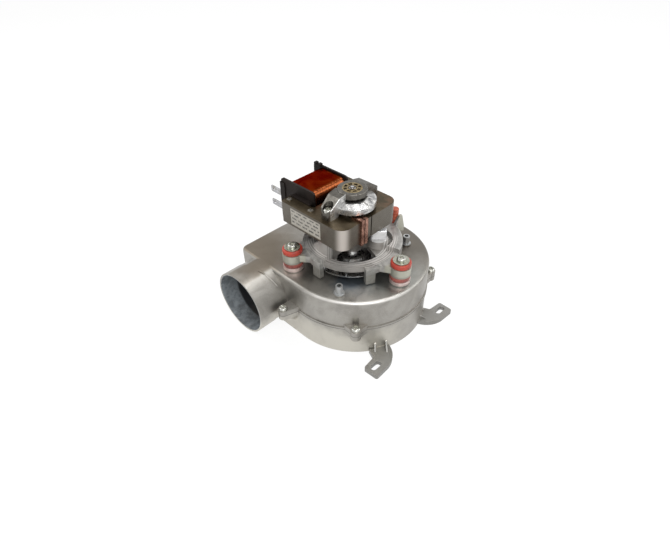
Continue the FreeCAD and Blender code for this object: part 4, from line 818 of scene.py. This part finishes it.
def makeShaft(name):
    # ground steel, with painted shade as a dark ring round the bright centre of its upper end, and on its
    # lower part
    material, tree, shader, coords = startMaterial(name, 1.0, groundShaft["roughness"][0])
    tone, blotch, height = addSheet(tree, coords, groundShaft)
    x, y, z = splitAxes(tree, coords)
    onRing = times(tree, ramp(tree, lengthOf(tree, x, y), groundShaft["shaftShadeStart"]),
                   ramp(tree, z, groundShaft["endBand"]))
    shadedShaft = larger(tree, onRing, ramp(tree, z, groundShaft["lowBand"]))
    body = mixColour(tree, tone, groundShaft["steel"], groundShaft["steelLight"])
    setColour(tree, shader, times(tree, shadedShaft, groundShaft["shaftShadeAmount"]), body, groundShaft["shaftShade"])
    roughnessFrom(tree, shader, blotch, *groundShaft["roughness"])
    addBump(tree, shader, height, groundShaft["bump"], sheetPattern["relief"])
    return material


oiledFelt = {
    "fibre": (1800.0, 6.0, 0.75, 1.5),
    "dark": (0.045, 0.032, 0.018),
    "light": (0.120, 0.090, 0.050),
    "roughness": 0.9,
    "bump": 0.6,
    "relief": 0.0004,
}


def makeFelt(name):
    material, tree, shader, coords = startMaterial(name, 0.0, oiledFelt["roughness"])
    fibre = noise(tree, coords, *oiledFelt["fibre"])
    setColour(tree, shader, fibre, oiledFelt["dark"], oiledFelt["light"])
    addBump(tree, shader, fibre, oiledFelt["bump"], oiledFelt["relief"])
    return material


spangle = {
    "scale": 240.0,
    "dark": (0.36, 0.37, 0.385),
    "light": (0.52, 0.53, 0.54),
    "roughness": (0.28, 0.46),
    "grainScale": 900.0,
    "bump": 0.05,
    "relief": 0.0003,
}


def makeSpangled(name):
    # zinc spangles on galvanised sheet
    material, tree, shader, coords = startMaterial(name, 1.0, spangle["roughness"][0])
    cells = setInputs(addNode(tree, "ShaderNodeTexVoronoi"), Scale=spangle["scale"])
    tree.links.new(coords, cells.inputs["Vector"])
    tone = addNode(tree, "ShaderNodeSeparateColor")
    tree.links.new(cells.outputs["Color"], tone.inputs["Color"])
    setColour(tree, shader, tone.outputs["Red"], spangle["dark"], spangle["light"])
    roughnessFrom(tree, shader, tone.outputs["Green"], *spangle["roughness"])
    addBump(tree, shader, noise(tree, coords, spangle["grainScale"]), spangle["bump"], spangle["relief"])
    return material


# plain castings, sheet metals, plastics and rubbers, which differ in colours and pattern scales only

castings = {
    "cage_aluminium": {
        "dark": (0.36, 0.36, 0.355), "light": (0.52, 0.52, 0.515), "stain": (0.25, 0.24, 0.22),
        "roughness": (0.30, 0.45), "grainScale": 1500.0, "flowScale": 150.0, "pits": 0.2, "bump": 0.25,
    },
    "sintered_bronze": {
        "dark": (0.26, 0.17, 0.075), "light": (0.42, 0.29, 0.14), "stain": (0.13, 0.08, 0.035),
        "roughness": (0.3, 0.5), "grainScale": 2600.0, "flowScale": 300.0, "pits": 0.5, "bump": 0.3,
    },
}

sheets = {
    "zinc_screw": {
        "dark": (0.40, 0.40, 0.375), "light": (0.64, 0.64, 0.615), "blotch": (0.33, 0.325, 0.27),
        "roughness": (0.20, 0.34), "streakScale": 900.0, "blotchScale": 500.0,
    },
    "washer_steel": {
        "dark": (0.33, 0.345, 0.29), "light": (0.54, 0.55, 0.48), "blotch": (0.28, 0.285, 0.21),
        "roughness": (0.20, 0.34), "streakScale": 900.0, "blotchScale": 400.0,
    },
    "rivet_steel": {
        "dark": (0.38, 0.36, 0.32), "light": (0.58, 0.56, 0.51), "blotch": (0.30, 0.26, 0.2),
        "roughness": (0.25, 0.4), "streakScale": 900.0, "blotchScale": 600.0,
    },
    "retainer_steel": {
        "dark": (0.23, 0.17, 0.085), "light": (0.46, 0.36, 0.19), "blotch": (0.14, 0.10, 0.045),
        "roughness": (0.20, 0.38), "streakScale": 800.0, "blotchScale": 420.0,
    },
    # painted shade: a near-black finish for the lower retainer under the motor
    "shaded_retainer": {
        "dark": (0.075, 0.066, 0.056), "light": (0.130, 0.116, 0.100), "blotch": (0.050, 0.044, 0.036),
        "roughness": (0.40, 0.55), "streakScale": 600.0, "blotchScale": 180.0, "metal": 0.3,
    },
    "tin_terminal": {
        "dark": (0.36, 0.36, 0.375), "light": (0.58, 0.58, 0.60), "blotch": (0.30, 0.29, 0.26),
        "roughness": (0.22, 0.38), "streakScale": 700.0, "blotchScale": 260.0,
    },
    "shading_copper": {
        "dark": (0.24, 0.120, 0.085), "light": (0.44, 0.245, 0.185), "blotch": (0.15, 0.070, 0.050),
        "roughness": (0.22, 0.38), "streakScale": 700.0, "blotchScale": 260.0,
    },
    "fan_aluminium": {
        "dark": (0.34, 0.34, 0.335), "light": (0.50, 0.50, 0.495), "blotch": (0.26, 0.25, 0.235),
        "roughness": (0.24, 0.38), "streakScale": 500.0, "blotchScale": 110.0,
    },
}

plastics = {
    "cap_rubber": {
        "dark": (0.34, 0.060, 0.030), "light": (0.52, 0.120, 0.060),
        "roughness": (0.42, 0.6), "scale": 1400.0,
    },
    "bobbin_plastic": {
        "dark": (0.008, 0.006, 0.005), "light": (0.018, 0.013, 0.011),
        "roughness": (0.45, 0.65), "scale": 1500.0, "gloss": 0.14,
    },
    "gasket": {
        "dark": (0.10, 0.095, 0.088), "light": (0.17, 0.16, 0.15),
        "roughness": (0.7, 0.85), "scale": 1300.0, "bump": 0.3,
    },
    "seal_graphite": {
        "dark": (0.02, 0.02, 0.021), "light": (0.05, 0.05, 0.052),
        "roughness": (0.35, 0.55), "scale": 1300.0,
    },
}

plasticPattern = {
    "detail": (4.0, 0.6),
    "cloudPerFibre": 22,
    "cloudBand": (0.35, 0.7),
    "gloss": 0.5,
    "bump": 0.12,
    "relief": 0.0003,
}


def makeCasting(name, values):
    material, tree, shader, coords = startMaterial(name, castPattern["metal"], values["roughness"][0])
    tone, stain, height = addCast(tree, coords, values)
    body = mixColour(tree, tone, values["dark"], values["light"])
    setColour(tree, shader, times(tree, stain, castPattern["stainAmount"]), body, values["stain"])
    roughnessFrom(tree, shader, tone, *values["roughness"])
    addBump(tree, shader, height, values["bump"], castPattern["relief"])
    return material


def makeSheet(name, values):
    metal = values.get("metal", sheetPattern["metal"])
    material, tree, shader, coords = startMaterial(name, metal, values["roughness"][0])
    tone, blotch, height = addSheet(tree, coords, values)
    body = mixColour(tree, tone, values["dark"], values["light"])
    setColour(tree, shader, blotch, body, values["blotch"])
    roughnessFrom(tree, shader, blotch, *values["roughness"])
    addBump(tree, shader, height, sheetPattern["bump"], sheetPattern["relief"])
    return material


def makePlastic(name, values):
    material, tree, shader, coords = startMaterial(name, 0.0, values["roughness"][0])
    setInputs(shader, Specular_IOR_Level=values.get("gloss", plasticPattern["gloss"]))
    fibre = noise(tree, coords, values["scale"], *plasticPattern["detail"])
    cloud = noise(tree, coords, values["scale"] / plasticPattern["cloudPerFibre"], *plasticPattern["detail"])
    setColour(tree, shader, ramp(tree, cloud, plasticPattern["cloudBand"]), values["dark"], values["light"])
    roughnessFrom(tree, shader, cloud, *values["roughness"])
    addBump(tree, shader, fibre, values.get("bump", plasticPattern["bump"]), plasticPattern["relief"])
    return material


def makeFinishes():
    makers = {
        "cast_aluminium": makeCasing,
        "bracket_casting": makeBracket,
        "bridge_casting": makeBridge,
        "shaft_steel": makeShaft,
        "rotor_steel": makeLaminated,
        "laminated_steel": makeLaminated,
        "galvanised_sheet": makeSpangled,
        "winding_lacquer": makeWinding,
        "label_film": makeLabel,
        "felt": makeFelt,
        "red_silicone": makeSilicone,
    }
    finishes = {name: make(name) for name, make in makers.items()}
    for make, family in ((makeCasting, castings), (makeSheet, sheets), (makePlastic, plastics)):
        finishes.update({name: make(name, values) for name, values in family.items()})
    return finishes


def dressNodes():
    finishes = makeFinishes()
    for part in frame["record"]["subparts"]:
        for holder in nodes[part["node"]].material_slots:
            holder.material = finishes[part["material_slot"]]
    # painted shade: the lower retainer under the motor is given a near-black finish
    for holder in nodes["lower_retainer"].material_slots:
        holder.material = finishes["shaded_retainer"]
    print("finishes given:", len(finishes))
    return finishes


# pieces modelled over the frame

def startEditing(name):
    # the new primitive keeps its place in its mesh, and its object goes to the origin
    piece = bpy.context.object
    piece.name = name
    bpy.ops.object.transform_apply(location=True, rotation=True, scale=True)
    bpy.ops.object.mode_set(mode="EDIT")
    return piece


def pick(piece, kind, wanted):
    # select only the vertices, edges or faces that pass the test
    bpy.ops.mesh.select_mode(type=kind)
    bpy.ops.mesh.select_all(action="DESELECT")
    shape = bmesh.from_edit_mesh(piece.data)
    for part in {"VERT": shape.verts, "EDGE": shape.edges, "FACE": shape.faces}[kind]:
        if wanted(part):
            part.select_set(True)
    bmesh.update_edit_mesh(piece.data)


def spanOf(edge, axis):
    return abs(edge.verts[0].co[axis] - edge.verts[1].co[axis])


def grow(share, centre):
    bpy.ops.transform.resize(value=share, center_override=centre)


def facesOutward():
    bpy.ops.mesh.select_all(action="SELECT")
    bpy.ops.mesh.normals_make_consistent(inside=False)


def finishPiece(piece, finish, node, smoothAngle):
    # hand the piece to the frame in its node's place
    bpy.ops.object.mode_set(mode="OBJECT")
    bpy.ops.object.shade_smooth_by_angle(angle=math.radians(smoothAngle))
    piece.data.materials.clear()
    piece.data.materials.append(finish)
    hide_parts(node)
    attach(piece, "housing")
    piece.select_set(False)
    print(piece.name, "stands for", node, "with", len(piece.data.polygons), "faces")


woundCoil = {
    "cornerRadius": 0.0060,
    "cornerSteps": 7,
    "wires": 90,
    "ridge": 0.00004,
    "sunkTurns": (7, 20, 31, 46, 58, 71, 83),
    "sunkBy": 0.00007,
    "tunnel": (0.0100, 0.0125),
    "endInset": 0.0004,
    "endFacing": 0.9,
    "smooth": 75,
}


def makeWoundCoil(finish):
    # a rounded block with a ridge for every turn, a few turns sunk, and a tunnel for the core
    low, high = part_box("coil_winding")
    middle = (low + high) / 2
    size = high - low
    ridge = woundCoil["ridge"]
    bpy.ops.object.select_all(action="DESELECT")
    bpy.ops.mesh.primitive_cube_add(size=1, location=middle,
                                    scale=(size.x, size.y - 2 * ridge, size.z - 2 * ridge))
    piece = startEditing("woundCoil")
    lengthwise = lambda edge: spanOf(edge, 0) > size.x / 2
    pick(piece, "EDGE", lengthwise)
    bpy.ops.mesh.bevel(offset=woundCoil["cornerRadius"], segments=woundCoil["cornerSteps"], profile=0.5,
                       affect="EDGES")
    pick(piece, "EDGE", lengthwise)
    bpy.ops.mesh.subdivide(number_cuts=2 * woundCoil["wires"] - 1)
    pitch = size.x / (2 * woundCoil["wires"])
    ringOf = lambda vertex: round((vertex.co.x - low.x) / pitch)
    pick(piece, "VERT", lambda vertex: ringOf(vertex) % 2 == 1)
    grow((1.0, 1 + 2 * ridge / size.y, 1 + 2 * ridge / size.z), middle)
    sunk = 2 * woundCoil["sunkBy"]
    pick(piece, "VERT", lambda vertex: (ringOf(vertex) + 1) // 2 in woundCoil["sunkTurns"])
    grow((1.0, 1 - sunk / size.y, 1 - sunk / size.z), middle)
    halfY, halfZ = woundCoil["tunnel"]
    atEnd = lambda face: abs(face.normal.x) > woundCoil["endFacing"] and len(face.verts) > 4
    pick(piece, "FACE", atEnd)
    bpy.ops.mesh.inset(thickness=woundCoil["endInset"], depth=0.0)
    grow((1.0, 2 * halfY / size.y, 2 * halfZ / size.z), middle)
    pick(piece, "FACE", atEnd)
    bpy.ops.mesh.bridge_edge_loops()
    facesOutward()
    finishPiece(piece, finish, "coil_winding", woundCoil["smooth"])


ribbedCap = {
    "sides": 40,
    "ribs": 5,
    "groove": 0.90,
    "wall": 0.0016,
    "hollow": 0.0125,
    "topRound": 0.95,
    "topSteps": 3,
    "baseFacing": -0.9,
    "smooth": 50,
}


def makeRibbedCap(finish):
    # a rubber cap with ribs round it, hollow from below
    low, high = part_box("rubber_cap")
    middle = (low + high) / 2
    size = high - low
    rings = 4 * ribbedCap["ribs"]
    bpy.ops.object.select_all(action="DESELECT")
    bpy.ops.mesh.primitive_cylinder_add(vertices=ribbedCap["sides"], radius=size.x / 2, depth=size.z,
                                        location=middle)
    piece = startEditing("ribbedCap")
    pick(piece, "EDGE", lambda edge: spanOf(edge, 2) > size.z / 2)
    bpy.ops.mesh.subdivide(number_cuts=rings + 1)
    step = size.z / (rings + 2)
    ringOf = lambda vertex: round((vertex.co.z - low.z) / step)
    pick(piece, "VERT", lambda vertex: ringOf(vertex) % 4 == 3 and ringOf(vertex) < rings)
    grow((ribbedCap["groove"], ribbedCap["groove"], 1.0), middle)
    pick(piece, "EDGE", lambda edge: all(vertex.co.z > high.z - step / 2 for vertex in edge.verts))
    bpy.ops.mesh.bevel(offset=step * ribbedCap["topRound"], segments=ribbedCap["topSteps"], profile=0.5,
                       affect="EDGES")
    pick(piece, "FACE", lambda face: face.normal.z < ribbedCap["baseFacing"])
    bpy.ops.mesh.inset(thickness=ribbedCap["wall"], depth=0.0)
    bpy.ops.mesh.extrude_region_move(TRANSFORM_OT_translate={"value": (0.0, 0.0, ribbedCap["hollow"])})
    facesOutward()
    finishPiece(piece, finish, "rubber_cap", ribbedCap["smooth"])


slottedRetainer = {
    "sides": 48,
    "holeRadius": 0.0036,
    "slotStart": 0.0048,
    "slotEnd": 0.0074,
    "slotBand": 0.0008,
    "slotEvery": 6,
    "slotSteps": 4,
    "thickness": 0.0008,
    "smooth": 40,
}


def makeSlottedRetainer(finish):
    # a sheet washer with curved slots between its hole and its rim
    low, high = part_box("upper_retainer")
    middle = (low + high) / 2
    top = (middle.x, middle.y, high.z)
    radius = (high.x - low.x) / 2
    bpy.ops.object.select_all(action="DESELECT")
    bpy.ops.mesh.primitive_circle_add(vertices=slottedRetainer["sides"], radius=radius, location=top)
    piece = startEditing("slottedRetainer")
    bpy.ops.mesh.select_all(action="SELECT")
    reached = radius
    for inner in (slottedRetainer["slotEnd"], slottedRetainer["slotStart"], slottedRetainer["holeRadius"]):
        bpy.ops.mesh.extrude_edges_move()
        grow((inner / reached, inner / reached, 1.0), top)
        reached = inner
    sector = 2 * math.pi / slottedRetainer["sides"]
    slotMiddle = (slottedRetainer["slotStart"] + slottedRetainer["slotEnd"]) / 2

    def inSlot(face):
        spot = face.calc_center_median() - middle
        number = int((math.atan2(spot.y, spot.x) + 2 * math.pi) / sector) % slottedRetainer["slotEvery"]
        onBand = abs(spot.xy.length - slotMiddle) < slottedRetainer["slotBand"]
        return onBand and number < slottedRetainer["slotSteps"]

    pick(piece, "FACE", inSlot)
    bpy.ops.mesh.delete(type="FACE")
    facesOutward()
    bpy.ops.object.mode_set(mode="OBJECT")
    sheet = piece.modifiers.new("thickness", "SOLIDIFY")
    sheet.thickness = slottedRetainer["thickness"]
    sheet.offset = -1.0 if piece.data.polygons[0].normal.z > 0 else 1.0
    bpy.ops.object.modifier_apply(modifier=sheet.name)
    finishPiece(piece, finish, "upper_retainer", slottedRetainer["smooth"])


# floor, lamps and world

studio = {
    "floorSize": 6.0,
    "floorWhite": 0.86,
    "floorGlow": 0.82,
    "floorStrength": 1.07,
    "worldLight": 0.62,
    "lamps": {
        "keyLamp": {"spot": (-0.55, -0.75, 1.05), "size": 0.75, "watts": 7.5},
        "sideLamp": {"spot": (0.85, -0.62, 0.70), "size": 0.55, "watts": 3.4},
        "backLamp": {"spot": (-0.35, 0.95, 0.85), "size": 0.7, "watts": 4.0},
        "topLamp": {"spot": (0.42, -0.05, 1.20), "size": 0.30, "watts": 3.0},
    },
}


def joinShaders(tree, share, first, second, endKind):
    mix = addNode(tree, "ShaderNodeMixShader")
    end = addNode(tree, endKind)
    for socket, value in zip(mix.inputs, (share, first.outputs[0], second.outputs[0])):
        tree.links.new(value, socket)
    tree.links.new(mix.outputs[0], end.inputs["Surface"])


def makeFloor():
    # a pale floor that shows brighter to the camera and to reflections than it lights the fan
    bpy.ops.object.select_all(action="DESELECT")
    bpy.ops.mesh.primitive_plane_add(size=studio["floorSize"], location=(0, 0, 0))
    floor = bpy.context.object
    floor.name = "paleFloor"
    material = bpy.data.materials.new("paleFloor")
    material.use_nodes = True
    tree = material.node_tree
    tree.nodes.clear()
    white = studio["floorWhite"]
    matt = setInputs(addNode(tree, "ShaderNodeBsdfDiffuse"), Color=(white, white, white, 1.0))
    glow = setInputs(addNode(tree, "ShaderNodeEmission"), Color=(1.0, 1.0, 1.0, 1.0),
                     Strength=studio["floorStrength"])
    rays = addNode(tree, "ShaderNodeLightPath").outputs
    seen = larger(tree, rays["Is Camera Ray"], rays["Is Glossy Ray"])
    joinShaders(tree, times(tree, seen, studio["floorGlow"]), matt, glow, "ShaderNodeOutputMaterial")
    floor.data.materials.append(material)


def makeWorld():
    world = bpy.data.worlds.new("studioWorld")
    world.use_nodes = True
    tree = world.node_tree
    tree.nodes.clear()
    light, shown = [
        setInputs(addNode(tree, "ShaderNodeBackground"), Color=(1.0, 1.0, 1.0, 1.0), Strength=strength)
        for strength in (studio["worldLight"], 1.0)
    ]
    rays = addNode(tree, "ShaderNodeLightPath").outputs
    seen = larger(tree, rays["Is Camera Ray"], rays["Is Glossy Ray"])
    seen = larger(tree, seen, rays["Is Transmission Ray"])
    joinShaders(tree, seen, light, shown, "ShaderNodeOutputWorld")
    bpy.context.scene.world = world


def makeLamps():
    low, high = sizeAtLoad
    middle = (Vector(low) + Vector(high)) / 2
    for name, lamp in studio["lamps"].items():
        data = bpy.data.lights.new(name, "AREA")
        data.shape = "SQUARE"
        data.size = lamp["size"]
        data.energy = lamp["watts"]
        holder = bpy.data.objects.new(name, data)
        holder.location = lamp["spot"]
        holder.rotation_euler = (middle - Vector(lamp["spot"])).to_track_quat("-Z", "Y").to_euler()
        bpy.context.collection.objects.link(holder)


makeCamera()
finishes = dressNodes()
makeWoundCoil(finishes["winding_lacquer"])
makeRibbedCap(finishes["cap_rubber"])
makeSlottedRetainer(finishes["retainer_steel"])
makeFloor()
makeWorld()
makeLamps()
bpy.context.scene.view_settings.view_transform = "Standard"
print("studio ready")
